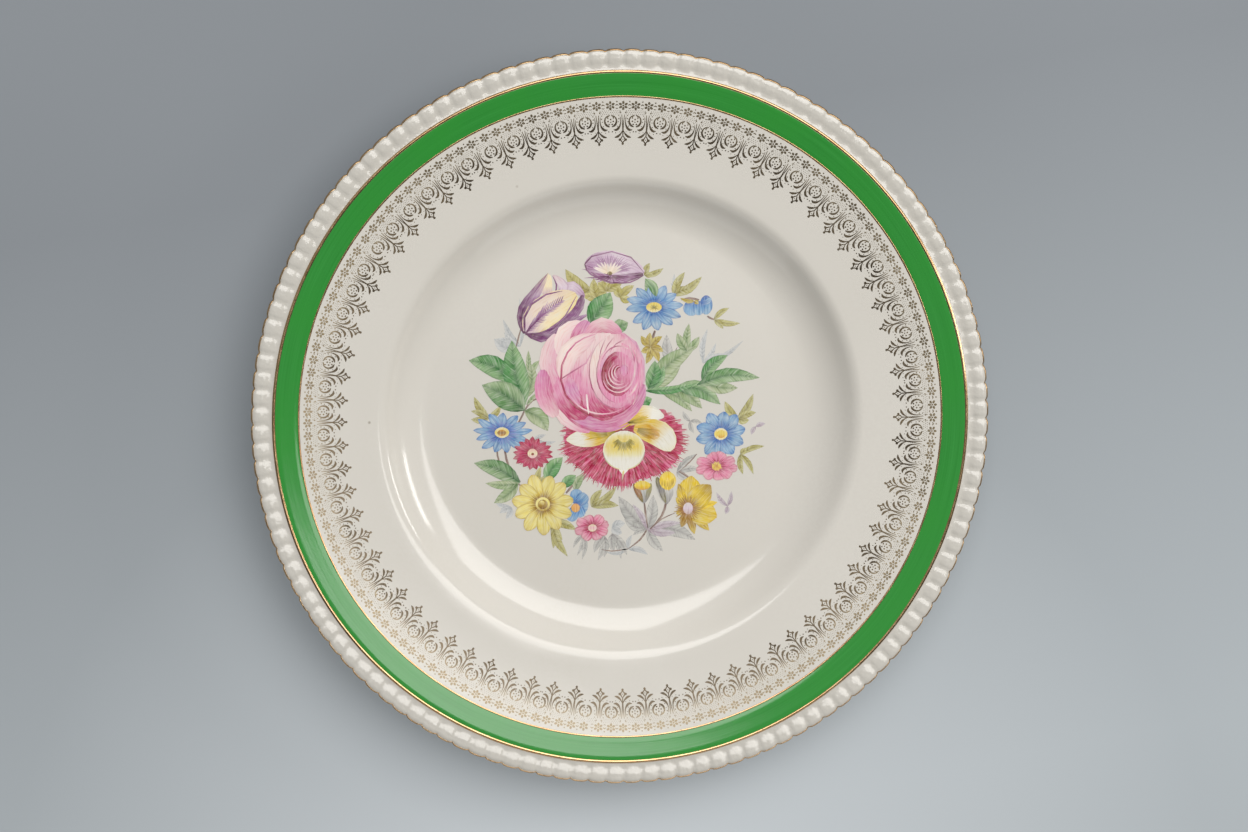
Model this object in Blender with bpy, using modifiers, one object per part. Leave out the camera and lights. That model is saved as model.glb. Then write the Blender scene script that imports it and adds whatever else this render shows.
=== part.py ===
"""China dinner plate: a moulded china body with a gadrooned rim, and its fired-on enamel and gold.

The plate stands on its foot ring: +Z is up, through the middle of the plate, and the origin is at the middle
of the plane that the foot rests on. Sizes are in millimetres until make_turned and make_flat scale them.
"""

import math

import bpy
import numpy as np

MM = 0.001

# Driving dimensions of the china body.
BODY_RADIUS = 129.5  # over the lobes of the rim, inside the gilding
FLOOR_RADIUS = 67.0  # flat floor of the well
STEEP_RADII = (80.3, 82.2)  # the wall of the well is steepest between these
WALL_SLOPE = math.radians(44.5)
VERGE_RADIUS = 86.2  # where the wall of the well turns over into the rim
FLOOR_HEIGHT = 7.0
VERGE_HEIGHT = 16.7
RIM_SLOPE = math.tan(math.radians(10.0))
BASE_HEIGHT = 2.7  # underside of the floor, inside the foot ring
RIM_THICKNESS = 3.2
HAUNCH_RADIUS = 94.0  # where the underside leaves the rim's slope and turns down to the foot
HAUNCH_SLOPE = 0.9  # dz/dr of the underside where it meets the foot
FOOT_RADIUS = 74.5  # outer edge of the face that the plate rests on
FOOT_WIDTH = 3.0

# The gadroon bead that ends the rim.
LOBES = 128
STEPS_PER_LOBE = 2
BEAD_HALF_WIDTH = 3.2
BEAD_HALF_HEIGHT = 2.1
BEAD_POINTS = 8
BEAD_RADIUS = BODY_RADIUS - BEAD_HALF_WIDTH
NOTCH = 0.2  # how far the bead's section shrinks in the notch between two lobes
LOBE_FULLNESS = 2.4  # power of the lobe's curve: higher is fuller with a narrower notch

# Fired-on decoration: thin layers that lie just clear of the glaze.
LAYER_GAP = 0.3
LAYER_THICKNESS = 0.2
BAND_RADII = (113.8, 121.2)
OUTER_LINE_RADII = (121.3, 122.3)
INNER_LINE_RADII = (113.1, 113.7)
LACE_RADII = (96.7, 111.6)
LACE_TIPS = 76
LACE_TIP_LENGTH = 3.6
GILT_HALF_HEIGHT = 0.8

PLAIN_STEPS = 96
LOBED_STEPS = LOBES * STEPS_PER_LOBE
WALL_STEPS = 8
HAUNCH_STEPS = 6

# Edge of the printed bouquet, anticlockwise from +X: angle in degrees and distance from its middle.
BOUQUET_EDGE = (
    (2, 42), (13, 52), (22, 44), (33, 40), (44, 47), (54, 43), (70, 46), (86, 56), (100, 54), (108, 46),
    (122, 48), (136, 45), (150, 44), (163, 54), (178, 49), (190, 51), (202, 48), (214, 54), (226, 50),
    (240, 53), (250, 55), (262, 50), (276, 53), (288, 55), (300, 47), (312, 49), (324, 50), (336, 46),
    (348, 52),
)
BOUQUET_MIDDLE = (-0.9, 3.6)


def rim_height(radius):
    """Height of the rim's upper face, which is a cone."""
    return VERGE_HEIGHT + (radius - VERGE_RADIUS) * RIM_SLOPE


BEAD_HEIGHT = rim_height(BEAD_RADIUS) - 1.45  # middle of the bead, a little under the rim's upper face


def well_wall():
    """Points up the wall of the well: its slope grows from the floor, holds, then rolls over to the rim's."""
    knots = (FLOOR_RADIUS, *STEEP_RADII, VERGE_RADIUS)
    slopes = (0, WALL_SLOPE, WALL_SLOPE, math.atan(RIM_SLOPE))
    radii = [FLOOR_RADIUS + (VERGE_RADIUS - FLOOR_RADIUS) * i / WALL_STEPS for i in range(WALL_STEPS + 1)]
    tangents = np.tan(np.interp(radii, knots, slopes))
    rises = np.cumsum((tangents[1:] + tangents[:-1]) / 2)
    heights = FLOOR_HEIGHT + (VERGE_HEIGHT - FLOOR_HEIGHT) * rises / rises[-1]
    return list(zip(radii[1:], heights))


def eased(start, end, start_slope, end_slope, steps):
    """Points of a cubic from start to end, leaving out the start, with these slopes dz/dr at its ends."""
    (r0, z0), (r1, z1) = start, end
    width = r1 - r0
    points = []
    for i in range(1, steps + 1):
        t = i / steps
        rise = (3 - 2 * t) * t * t
        z = z0 + (z1 - z0) * rise
        z += width * start_slope * t * (1 - t) ** 2 - width * end_slope * t * t * (1 - t)
        points.append((r0 + width * t, z))
    return points


def body_profile():
    """The body's section from the middle of the well, out over the rim and back under to the middle."""
    slab_end = BEAD_RADIUS + 0.4
    haunch = (HAUNCH_RADIUS, rim_height(HAUNCH_RADIUS) - RIM_THICKNESS)
    foot_top = (FOOT_RADIUS + 2.0, 4.2)
    foot_inner = FOOT_RADIUS - FOOT_WIDTH
    profile = [(0, FLOOR_HEIGHT), (55.0, FLOOR_HEIGHT), (FLOOR_RADIUS, FLOOR_HEIGHT)] + well_wall()
    profile += [(slab_end, rim_height(slab_end)), (slab_end, rim_height(slab_end) - RIM_THICKNESS + 0.4)]
    profile += [haunch] + eased(haunch, foot_top, RIM_SLOPE, HAUNCH_SLOPE, HAUNCH_STEPS)
    profile += [(FOOT_RADIUS + 0.6, 0.9), (FOOT_RADIUS, 0)]
    profile += [(foot_inner, 0), (foot_inner - 0.8, 0.9), (foot_inner - 1.6, BASE_HEIGHT), (0, BASE_HEIGHT)]
    return profile


def bead_profile():
    """The bead's section: an ellipse that takes in the end of the rim, run clockwise from its top."""
    turns = [math.pi / 2 - 2 * math.pi * i / BEAD_POINTS for i in range(BEAD_POINTS)]
    return [
        (BEAD_RADIUS + BEAD_HALF_WIDTH * math.cos(turn), BEAD_HEIGHT + BEAD_HALF_HEIGHT * math.sin(turn))
        for turn in turns
    ]


def layer_profile(inner, outer):
    """A thin layer's section over the rim from inner to outer, run clockwise."""
    low = LAYER_GAP
    high = LAYER_GAP + LAYER_THICKNESS
    return [
        (inner, rim_height(inner) + high),
        (outer, rim_height(outer) + high),
        (outer, rim_height(outer) + low),
        (inner, rim_height(inner) + low),
    ]


def gilt_profile():
    """The gilding's section: a hoop just clear of the bead's widest line, run clockwise."""
    inner = BODY_RADIUS + LAYER_GAP
    outer = inner + LAYER_THICKNESS
    top = BEAD_HEIGHT + GILT_HALF_HEIGHT
    bottom = BEAD_HEIGHT - GILT_HALF_HEIGHT
    return [(inner, top), (outer, top), (outer, bottom), (inner, bottom)]


def notch_depth(angle):
    """0 over the crown of a lobe and 1 in the notch between two lobes."""
    across = (angle * LOBES / (2 * math.pi)) % 1.0
    return abs(2 * across - 1) ** LOBE_FULLNESS if across else 1.0


def make_material(name, colour, roughness, metallic=0.0):
    material = bpy.data.materials.new(name)
    material.use_nodes = True
    shader = material.node_tree.nodes["Principled BSDF"]
    shader.inputs["Base Color"].default_value = (*colour, 1.0)
    shader.inputs["Roughness"].default_value = roughness
    shader.inputs["Metallic"].default_value = metallic
    material.diffuse_color = (*colour, 1.0)
    return material


def make_turned(name, profile, steps, closed, material, collection):
    """Turns a section, given as radius and height, once round the plate's axis."""
    mesh = bpy.data.meshes.new(name)
    count = len(profile)
    edges = [(i, (i + 1) % count) for i in range(count if closed else count - 1)]
    mesh.from_pydata([(r * MM, 0, z * MM) for r, z in profile], edges, [])
    mesh.materials.append(material)
    piece = bpy.data.objects.new(name, mesh)
    collection.objects.link(piece)
    screw = piece.modifiers.new("turn", "SCREW")
    screw.axis = "Z"
    screw.angle = 2 * math.pi
    screw.steps = steps
    screw.render_steps = steps
    screw.use_merge_vertices = True
    screw.merge_threshold = 1e-5
    screw.use_smooth_shade = True
    return piece


def make_plain_mesh(piece):
    """Turns a piece's modifiers into its own mesh, so that its vertices can be moved."""
    bpy.context.view_layer.update()
    graph = bpy.context.evaluated_depsgraph_get()
    piece.data = bpy.data.meshes.new_from_object(piece.evaluated_get(graph))
    piece.modifiers.clear()
    piece.data.shade_smooth()
    piece.data.set_sharp_from_angle(angle=math.radians(35))


def gadroon(piece):
    """Shrinks the section towards the middle of the bead in each notch, which leaves the lobes between."""
    make_plain_mesh(piece)
    for vertex in piece.data.vertices:
        x, y, z = vertex.co
        radius = math.hypot(x, y)
        keep = 1 - NOTCH * notch_depth(math.atan2(y, x))
        new_radius = BEAD_RADIUS * MM + (radius - BEAD_RADIUS * MM) * keep
        vertex.co = (
            x * new_radius / radius,
            y * new_radius / radius,
            BEAD_HEIGHT * MM + (z - BEAD_HEIGHT * MM) * keep,
        )


def make_lace(material, collection):
    """The printed border as one layer: its inner edge zigzags out to the tip of each printed motif."""
    inner, outer = LACE_RADII
    piece = make_turned("lace_border", layer_profile(inner, outer), LACE_TIPS * 2, True, material, collection)
    make_plain_mesh(piece)
    middle = (inner + outer) / 2 * MM
    for vertex in piece.data.vertices:
        x, y, z = vertex.co
        radius = math.hypot(x, y)
        step = round(math.atan2(y, x) / (math.pi / LACE_TIPS))
        if radius < middle and step % 2:
            grown = radius + LACE_TIP_LENGTH * MM
            vertex.co = (
                x * grown / radius,
                y * grown / radius,
                z + LACE_TIP_LENGTH * MM * RIM_SLOPE,
            )
    return piece


def make_bouquet(material, collection):
    """The printed bouquet as one flat layer on the floor of the well."""
    curve = bpy.data.curves.new("floral_transfer", "CURVE")
    curve.dimensions = "2D"
    curve.fill_mode = "BOTH"
    curve.resolution_u = 3
    curve.extrude = LAYER_THICKNESS / 2 * MM
    spline = curve.splines.new("BEZIER")
    spline.bezier_points.add(len(BOUQUET_EDGE) - 1)
    spline.use_cyclic_u = True
    for point, (angle, distance) in zip(spline.bezier_points, BOUQUET_EDGE):
        turn = math.radians(angle)
        point.co = (distance * math.cos(turn) * MM, distance * math.sin(turn) * MM, 0)
        point.handle_left_type = "AUTO"
        point.handle_right_type = "AUTO"
    curve.materials.append(material)
    piece = bpy.data.objects.new("floral_transfer", curve)
    height = FLOOR_HEIGHT + LAYER_GAP + LAYER_THICKNESS / 2
    piece.location = (BOUQUET_MIDDLE[0] * MM, BOUQUET_MIDDLE[1] * MM, height * MM)
    collection.objects.link(piece)
    return piece


def make_body(material, collection, helpers):
    """The china: a turned plate, joined to the lobed bead along its rim."""
    body = make_turned("plate_body", body_profile(), PLAIN_STEPS, False, material, collection)
    bead = make_turned("gadroon_bead", bead_profile(), LOBED_STEPS, True, material, helpers)
    gadroon(bead)
    bead.hide_render = True
    bead.display_type = "WIRE"
    union = body.modifiers.new("bead", "BOOLEAN")
    union.operation = "UNION"
    union.solver = "EXACT"
    union.object = bead
    return body


def clear_scene():
    for item in list(bpy.data.objects):
        bpy.data.objects.remove(item, do_unlink=True)


def main():
    clear_scene()
    plate = bpy.data.collections.new("dinner_plate")
    helpers = bpy.data.collections.new("helpers")
    bpy.context.scene.collection.children.link(plate)
    bpy.context.scene.collection.children.link(helpers)

    glaze = make_material("ivory_glaze", (0.78, 0.74, 0.66), 0.12)
    green = make_material("green_enamel", (0.04, 0.30, 0.05), 0.15)
    gold = make_material("gold", (0.72, 0.50, 0.22), 0.28, metallic=1.0)
    print_gold = make_material("gold_print", (0.45, 0.34, 0.20), 0.35, metallic=1.0)
    enamel = make_material("floral_enamel", (0.62, 0.22, 0.30), 0.25)

    make_body(glaze, plate, helpers)
    gadroon(make_turned("rim_gilding", gilt_profile(), LOBED_STEPS, True, gold, plate))
    for name, radii, material in (
        ("outer_gold_line", OUTER_LINE_RADII, gold),
        ("green_band", BAND_RADII, green),
        ("inner_gold_line", INNER_LINE_RADII, gold),
    ):
        make_turned(name, layer_profile(*radii), PLAIN_STEPS, True, material, plate)
    make_lace(print_gold, plate)
    make_bouquet(enamel, plate)


main()
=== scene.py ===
import math
import random

import bpy
import numpy as np
from mathutils import Matrix, Vector


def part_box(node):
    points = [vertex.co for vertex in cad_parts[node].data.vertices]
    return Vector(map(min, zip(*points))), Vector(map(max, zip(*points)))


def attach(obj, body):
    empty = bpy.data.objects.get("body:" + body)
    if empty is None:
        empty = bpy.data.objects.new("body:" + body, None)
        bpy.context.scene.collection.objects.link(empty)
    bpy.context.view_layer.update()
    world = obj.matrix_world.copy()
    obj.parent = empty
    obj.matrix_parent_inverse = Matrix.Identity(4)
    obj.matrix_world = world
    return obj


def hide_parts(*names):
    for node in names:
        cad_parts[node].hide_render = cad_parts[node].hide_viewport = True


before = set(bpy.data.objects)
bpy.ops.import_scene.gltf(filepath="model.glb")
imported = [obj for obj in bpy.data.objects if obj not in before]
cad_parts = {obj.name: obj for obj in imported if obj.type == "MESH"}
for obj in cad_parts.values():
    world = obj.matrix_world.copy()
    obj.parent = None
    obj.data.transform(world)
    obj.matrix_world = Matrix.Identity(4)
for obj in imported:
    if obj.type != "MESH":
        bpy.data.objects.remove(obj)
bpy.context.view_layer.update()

# ---------------------------------------------------------------------------------------------------------
# The plate's body. One pressing of cream china: a flat-floored well, a wide sloping rim and a gadrooned
# edge of rounded lobes, standing on a turned foot ring. The whole of it is dipped in a clear glossy glaze.

mm = 0.001
body_low, body_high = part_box("plate_body")
edge_radius = (body_high.x - body_low.x) / 2 + 0.2 * mm

rim_slope = math.tan(math.radians(7.3))
shoulder_slope = math.tan(math.radians(12.6))
floor_radius = 67.0 * mm
floor_height = 7.0 * mm
steep_radii = (80.3 * mm, 82.2 * mm)
wall_slope = math.radians(44.5)
verge_radius = 86.2 * mm
verge_height = 16.7 * mm
shoulder_radius = 121.75 * mm
cove_radius = 123.3 * mm
bead_radius = edge_radius - 3.2 * mm
bead_height = 22.3 * mm
lobes_start = cove_radius - 0.8 * mm
lobe_count = 128
steps_per_lobe = 6


def rim_height(radius):
    """Height of the rim's upper face, which rises a little more steeply from the verge to the shoulder."""
    out = radius - verge_radius
    bent = (shoulder_slope - rim_slope) * out / (shoulder_radius - verge_radius) / 2
    return verge_height + out * (rim_slope + bent)


def ramped(start, end, start_slope, end_slope, steps):
    """Points of a cubic from start to end with these slopes dz/dr, leaving out the start."""
    (r0, z0), (r1, z1) = start, end
    width = r1 - r0
    points = []
    for step in range(1, steps + 1):
        t = step / steps
        z = z0 + (z1 - z0) * (3 - 2 * t) * t * t
        z += width * start_slope * t * (1 - t) ** 2 - width * end_slope * t * t * (1 - t)
        points.append((r0 + width * t, z))
    return points


def well_wall(steps):
    """The wall of the well: its slope grows evenly from the floor, holds, then rolls over to the rim's."""
    radii = np.linspace(floor_radius, verge_radius, steps + 1)
    knots = (floor_radius, *steep_radii, verge_radius)
    slopes = np.tan(np.interp(radii, knots, (0, wall_slope, wall_slope, math.atan(rim_slope))))
    rises = np.cumsum((slopes[1:] + slopes[:-1]) / 2)
    heights = floor_height + (verge_height - floor_height) * rises / rises[-1]
    return list(zip(radii[1:], heights))


def arc(middle, half_width, half_height, start, end, steps):
    """Points of an ellipse's arc between two angles in degrees."""
    angles = np.radians(np.linspace(start, end, steps))
    return [(middle[0] + half_width * math.cos(a), middle[1] + half_height * math.sin(a)) for a in angles]


def body_section():
    """The body's section, from the middle of the well over the rim to the middle of the underside."""
    section = [(radius, floor_height) for radius in (0, 30 * mm, 60 * mm, floor_radius)]
    section += well_wall(28)
    rim_radii = np.linspace(verge_radius, shoulder_radius, 11)[1:]
    section += [(radius, rim_height(radius)) for radius in rim_radii]
    shoulder = rim_height(shoulder_radius)
    rolled = (shoulder_radius + 0.65 * mm, shoulder - 0.26 * mm)
    section += ramped(section[-1], rolled, shoulder_slope, -0.3, 5)
    section += ramped(section[-1], (cove_radius, shoulder - 0.3 * mm), -0.3, 0.1, 3)
    crown = (126.6 * mm, bead_height + 1.2 * mm)
    edge_middle = (edge_radius - 1.5 * mm, bead_height - 0.1 * mm)
    lip = arc(edge_middle, 1.5 * mm, 1.3 * mm, 68, -80, 13)
    section += ramped(section[-1], crown, 0.1, 0.05, 8) + ramped(crown, lip[0], 0.05, -0.42, 7)[:-1] + lip
    haunch = (94 * mm, rim_height(94 * mm) - 3.2 * mm)
    under_bead = (125.2 * mm, rim_height(125.2 * mm) - 3.3 * mm)
    section += ramped(section[-1], under_bead, 0.9, shoulder_slope, 4)
    section += [(110 * mm, rim_height(110 * mm) - 3.25 * mm), haunch]
    section += ramped(haunch, (76.5 * mm, 4.2 * mm), rim_slope, 0.9, 12)
    foot = (73 * mm, 1.1 * mm)
    section += [(75.6 * mm, 2.4 * mm), (75.1 * mm, 1.3 * mm)]
    section += arc(foot, 1.9 * mm, 1.1 * mm, -12, -168, 9)
    section += [(70.9 * mm, 1.5 * mm), (70.3 * mm, 2.3 * mm)]
    section += [(69.4 * mm, 2.65 * mm), (67 * mm, 2.75 * mm), (50 * mm, 2.9 * mm)]
    section += [(25 * mm, 3.0 * mm), (0, 3.0 * mm)]
    return section


def adder(tree):
    """A function that adds a node to a tree, and links or sets the node's inputs in order or by name."""
    def add(node_type, *inputs, **settings):
        node = tree.nodes.new(node_type)
        for key, value in settings.items():
            setattr(node, key, value)
        sockets = [socket for socket in node.inputs if socket.enabled]
        for place, value in enumerate(inputs):
            if isinstance(value, dict):
                for key, inner in value.items():
                    connect(node.inputs[key], inner)
            elif value is not None:
                connect(sockets[place], value)
        return node

    def connect(socket, value):
        if isinstance(value, bpy.types.Node):
            value = next(output for output in value.outputs if output.enabled)
        if isinstance(value, bpy.types.NodeSocket):
            tree.links.new(value, socket)
        else:
            socket.default_value = value

    return add


def new_group(name, inputs):
    """A Geometry Nodes tree that takes a shape, these inputs and a material, and gives back a shape."""
    group = bpy.data.node_groups.new(name, "GeometryNodeTree")
    face = group.interface
    face.new_socket("Geometry", in_out="OUTPUT", socket_type="NodeSocketGeometry")
    for socket, kind in (("Geometry", "Geometry"), *inputs, ("Material", "Material")):
        face.new_socket(socket, in_out="INPUT", socket_type="NodeSocket" + kind)
    add = adder(group)
    return group, add, add("NodeGroupInput").outputs


def turning_tree():
    """Turns a section in the XZ plane round Z, and pinches it into lobes past a radius."""
    group, add, given = new_group("turned_section", (
        ("Steps", "Int"), ("Lobes", "Int"), ("Notch Depth", "Float"), ("Notch Sharpness", "Float"),
        ("Bead Radius", "Float"), ("Bead Height", "Float"), ("Lobes Start", "Float"),
        ("Lobes Full", "Float"), ("Slant", "Float"),
    ))

    def calc(operation, *values):
        return add("ShaderNodeMath", *values, operation=operation)

    size = add("GeometryNodeAttributeDomainSize", given["Geometry"], component="MESH")
    rows = size.outputs["Point Count"]
    columns = calc("ADD", given["Steps"], 1)
    grid = add("GeometryNodeMeshGrid", 1.0, 1.0, rows, columns).outputs["Mesh"]
    index = add("GeometryNodeInputIndex")
    row = calc("FLOOR", calc("DIVIDE", calc("ADD", index, 0.5), columns))
    column = calc("SUBTRACT", index, calc("MULTIPLY", row, columns))
    sampled = add(
        "GeometryNodeSampleIndex", given["Geometry"], add("GeometryNodeInputPosition"), row,
        data_type="FLOAT_VECTOR", domain="POINT",
    )
    section = add("ShaderNodeSeparateXYZ", sampled).outputs
    turn = calc("DIVIDE", column, given["Steps"])
    slanted = calc("MULTIPLY", calc("SUBTRACT", section["X"], given["Bead Radius"]), given["Slant"])
    across = calc("FRACT", calc("ADD", calc("MULTIPLY", turn, given["Lobes"]), slanted))
    off_crown = calc("ABSOLUTE", calc("SUBTRACT", calc("MULTIPLY", across, 2.0), 1.0))
    notch = calc("POWER", off_crown, given["Notch Sharpness"])
    onset = add(
        "ShaderNodeMapRange",
        {"Value": section["X"], "From Min": given["Lobes Start"], "From Max": given["Lobes Full"]},
        interpolation_type="SMOOTHSTEP",
    ).outputs["Result"]
    keep = calc("SUBTRACT", 1.0, calc("MULTIPLY", calc("MULTIPLY", notch, given["Notch Depth"]), onset))

    def pinched(value, middle):
        return calc("ADD", middle, calc("MULTIPLY", calc("SUBTRACT", value, middle), keep))

    radius = pinched(section["X"], given["Bead Radius"])
    height = pinched(section["Z"], given["Bead Height"])
    angle = calc("MULTIPLY", turn, 2 * math.pi)
    place = add(
        "ShaderNodeCombineXYZ",
        calc("MULTIPLY", radius, calc("COSINE", angle)),
        calc("MULTIPLY", radius, calc("SINE", angle)),
        height,
    )
    moved = add("GeometryNodeSetPosition", {"Geometry": grid, "Position": place})
    closed = add("GeometryNodeMergeByDistance", {"Geometry": moved, "Distance": 1e-7})
    smooth = add("GeometryNodeSetShadeSmooth", {"Geometry": closed})
    painted = add("GeometryNodeSetMaterial", {"Geometry": smooth, "Material": given["Material"]})
    add("NodeGroupOutput", painted)
    return group


turned_section = turning_tree()


def set_inputs(modifier, values):
    """Sets a Geometry Nodes modifier's inputs, named as in its tree, by their sockets' identifiers."""
    for item in modifier.node_group.interface.items_tree:
        if item.in_out == "INPUT" and item.name in values:
            modifier[item.identifier] = values[item.name]


def plain_piece(piece, modifier):
    """Turns a piece's evaluated shape into its own plain mesh, and removes the modifier that made it."""
    bpy.context.view_layer.update()
    graph = bpy.context.evaluated_depsgraph_get()
    made = bpy.data.meshes.new_from_object(piece.evaluated_get(graph))
    piece.modifiers.remove(modifier)
    piece.data = made
    made.name = piece.name
    return piece


def new_piece(name, mesh):
    """An object with this mesh, at the origin."""
    piece = bpy.data.objects.new(name, mesh)
    bpy.context.scene.collection.objects.link(piece)
    return piece


def turned(name, section, material, notch=0.24):
    """A piece turned from a section of (radius, height) points, listed from the inside over the top."""
    mesh = bpy.data.meshes.new(name + "_section")
    mesh.from_pydata([(r, 0, z) for r, z in section], [(i, i + 1) for i in range(len(section) - 1)], [])
    piece = new_piece(name, mesh)
    modifier = piece.modifiers.new("turned", "NODES")
    modifier.node_group = turned_section
    set_inputs(modifier, {
        "Steps": lobe_count * steps_per_lobe,
        "Lobes": lobe_count,
        "Notch Depth": notch,
        "Notch Sharpness": 4.4,
        "Bead Radius": bead_radius,
        "Bead Height": bead_height - 1.3 * mm,
        "Lobes Start": lobes_start,
        "Lobes Full": cove_radius + 0.9 * mm,
        "Slant": 6.0,
        "Material": material,
    })
    return plain_piece(piece, modifier)


def new_material(name, settings):
    """A Principled material with these settings, its node adder and its shader."""
    material = bpy.data.materials.new(name)
    material.use_nodes = True
    shader = material.node_tree.nodes["Principled BSDF"]
    for socket, value in settings.items():
        shader.inputs[socket].default_value = value
    return material, adder(material.node_tree), shader


def mixed(add, factor, first, second, blend="MIX"):
    """A colour Mix node's result: first where the factor is 0, second where it is 1."""
    node = add("ShaderNodeMix", data_type="RGBA", blend_type=blend)
    tree = node.id_data
    for socket, value in ((node.inputs[0], factor), (node.inputs[6], first), (node.inputs[7], second)):
        if isinstance(value, bpy.types.NodeSocket):
            tree.links.new(value, socket)
        elif isinstance(value, tuple):
            socket.default_value = (*value, 1.0)
        else:
            socket.default_value = value
    return node.outputs[2]


def ranged(add, value, low, high, to_low=0.0, to_high=1.0):
    """A value brought from one range to another, and held inside it."""
    return add("ShaderNodeMapRange", value, low, high, to_low, to_high).outputs[0]


def noise(add, vector, scale, detail, roughness=0.5):
    """Cloudy noise from 0 to 1."""
    given = {"Vector": vector, "Scale": scale, "Detail": detail, "Roughness": roughness}
    return add("ShaderNodeTexNoise", given).outputs["Fac"]


def off_middle(add, place):
    """How far each place lies from the plate's middle."""
    return add("ShaderNodeVectorMath", place, operation="LENGTH").outputs["Value"]


def surfaced(add, shader, colour, height, strength, distance, roughness=None):
    """Gives a shader its colour, a relief from a height and, where it varies, its roughness."""
    links = shader.id_data.links
    links.new(colour, shader.inputs["Base Color"])
    relief = add("ShaderNodeBump", {"Strength": strength, "Distance": distance, "Height": height})
    links.new(relief.outputs[0], shader.inputs["Normal"])
    if roughness:
        links.new(roughness, shader.inputs["Roughness"])


def ivory_glaze():
    """Cream china under clear glaze: mottled clay, a few pin specks, and a greyer tone and uneven surface on
    the lobes.
    """
    material, add, shader = new_material("ivory_glaze", {
        "Roughness": 0.14, "IOR": 1.52, "Coat Weight": 0.22, "Coat Roughness": 0.03,
    })
    place = add("ShaderNodeTexCoord").outputs["Object"]
    cloud = ranged(add, noise(add, place, 18.0, 4.0), 0.3, 0.7)
    colour = mixed(add, cloud, (0.675, 0.640, 0.570), (0.705, 0.672, 0.606))
    grain = ranged(add, noise(add, place, 900.0, 2.0), 0.35, 0.65)
    colour = mixed(add, grain, colour, (0.69, 0.655, 0.59))
    pins = add("ShaderNodeTexVoronoi", {"Vector": place, "Scale": 55.0}).outputs["Distance"]
    rare = ranged(add, noise(add, place, 31.0, 1.0), 0.71, 0.77)
    speck = add("ShaderNodeMath", ranged(add, pins, 0.02, 0.04, 1.0, 0.0), rare, operation="MULTIPLY")
    colour = mixed(add, speck.outputs[0], colour, (0.30, 0.25, 0.19))
    reach = off_middle(add, place)
    # The lobes are tinted a touch greyer than the rest of the glaze.
    thin = ranged(add, reach, lobes_start, lobes_start + 2 * mm, 0.0, 0.32)
    colour = mixed(add, thin, colour, (0.44, 0.42, 0.37))
    ripple = noise(add, place, 26.0, 2.0)
    uneven = ranged(add, reach, lobes_start, lobes_start + 2 * mm, 0.0, 1.6)
    height = add("ShaderNodeMath", noise(add, place, 420.0, 2.0), uneven, ripple, operation="MULTIPLY_ADD")
    surfaced(add, shader, colour, height, 0.06, 4 * mm)
    return material


plate = turned("china_body", body_section(), ivory_glaze())
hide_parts("plate_body")
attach(plate, "root")


# ---------------------------------------------------------------------------------------------------------
# The green band. A ring of apple-green overglaze enamel, laid on a turning wheel with a loaded brush and
# fired, so it stands a few hundredths of a millimetre proud and shows faint streaks along its length.

band_inner, band_outer = 113.4 * mm, 121.3 * mm
enamel_rise = 0.05 * mm


def layer_section(inner, outer, rise, steps=6):
    """A thin layer on the rim: its top stands above the glaze, its rounded ends run down into it."""
    ends, sunk = 0.15 * mm, 0.06 * mm
    top = [(inner, rim_height(inner) + 0.3 * rise)]
    for part in np.linspace(0, 1, steps):
        radius = inner + ends + (outer - inner - 2 * ends) * part
        top.append((radius, rim_height(radius) + rise))
    top.append((outer, rim_height(outer) + 0.3 * rise))
    under = [(outer, rim_height(outer) - sunk), (inner, rim_height(inner) - sunk), top[0]]
    return top + under


def green_enamel():
    """Glossy green enamel: faint streaks along the band from the brush, and pools where it lay thicker."""
    material, add, shader = new_material("green_enamel", {
        "Roughness": 0.10, "IOR": 1.52, "Coat Weight": 0.3, "Coat Roughness": 0.05,
    })
    place = add("ShaderNodeTexCoord").outputs["Object"]
    around = add("ShaderNodeSeparateXYZ", place).outputs
    angle = add("ShaderNodeMath", around["Y"], around["X"], operation="ARCTAN2").outputs[0]
    fine = add("ShaderNodeMath", off_middle(add, place), 900.0, operation="MULTIPLY")
    brushed = add("ShaderNodeCombineXYZ", angle, fine, 0.0)
    streaks = ranged(add, noise(add, brushed, 1.6, 4.0, 0.6), 0.3, 0.7)
    colour = mixed(add, streaks, (0.024, 0.240, 0.030), (0.038, 0.292, 0.046))
    pools = ranged(add, noise(add, place, 45.0, 3.0), 0.35, 0.75)
    colour = mixed(add, pools, colour, (0.030, 0.278, 0.034))
    surfaced(add, shader, colour, streaks, 0.015, 2 * mm)
    return material


band = turned("green_enamel_band", layer_section(band_inner, band_outer, enamel_rise), green_enamel())
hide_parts("green_band")
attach(band, "root")


# ---------------------------------------------------------------------------------------------------------
# The gilding: burnished bright gold, brushed on the wheel. One line rolls over the shoulder outside the
# green, one finishes the green's inner edge, and a third runs round the extreme edge over every lobe.

gold_rise = 0.04 * mm


def bright_gold():
    """Fired gold: warm metal with thin worn spots and small changes of tone and polish."""
    material, add, shader = new_material("bright_gold", {"Metallic": 1.0})
    place = add("ShaderNodeTexCoord").outputs["Object"]
    patches = ranged(add, noise(add, place, 160.0, 4.0), 0.3, 0.7)
    colour = mixed(add, patches, (0.50, 0.31, 0.15), (0.66, 0.45, 0.24))
    thin = ranged(add, noise(add, place, 700.0, 2.0), 0.62, 0.72)
    colour = mixed(add, thin, colour, (0.36, 0.23, 0.12))
    polish = ranged(add, noise(add, place, 320.0, 3.0), 0.3, 0.7, 0.17, 0.26)
    surfaced(add, shader, colour, patches, 0.05, 0.4 * mm, polish)
    return material


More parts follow.
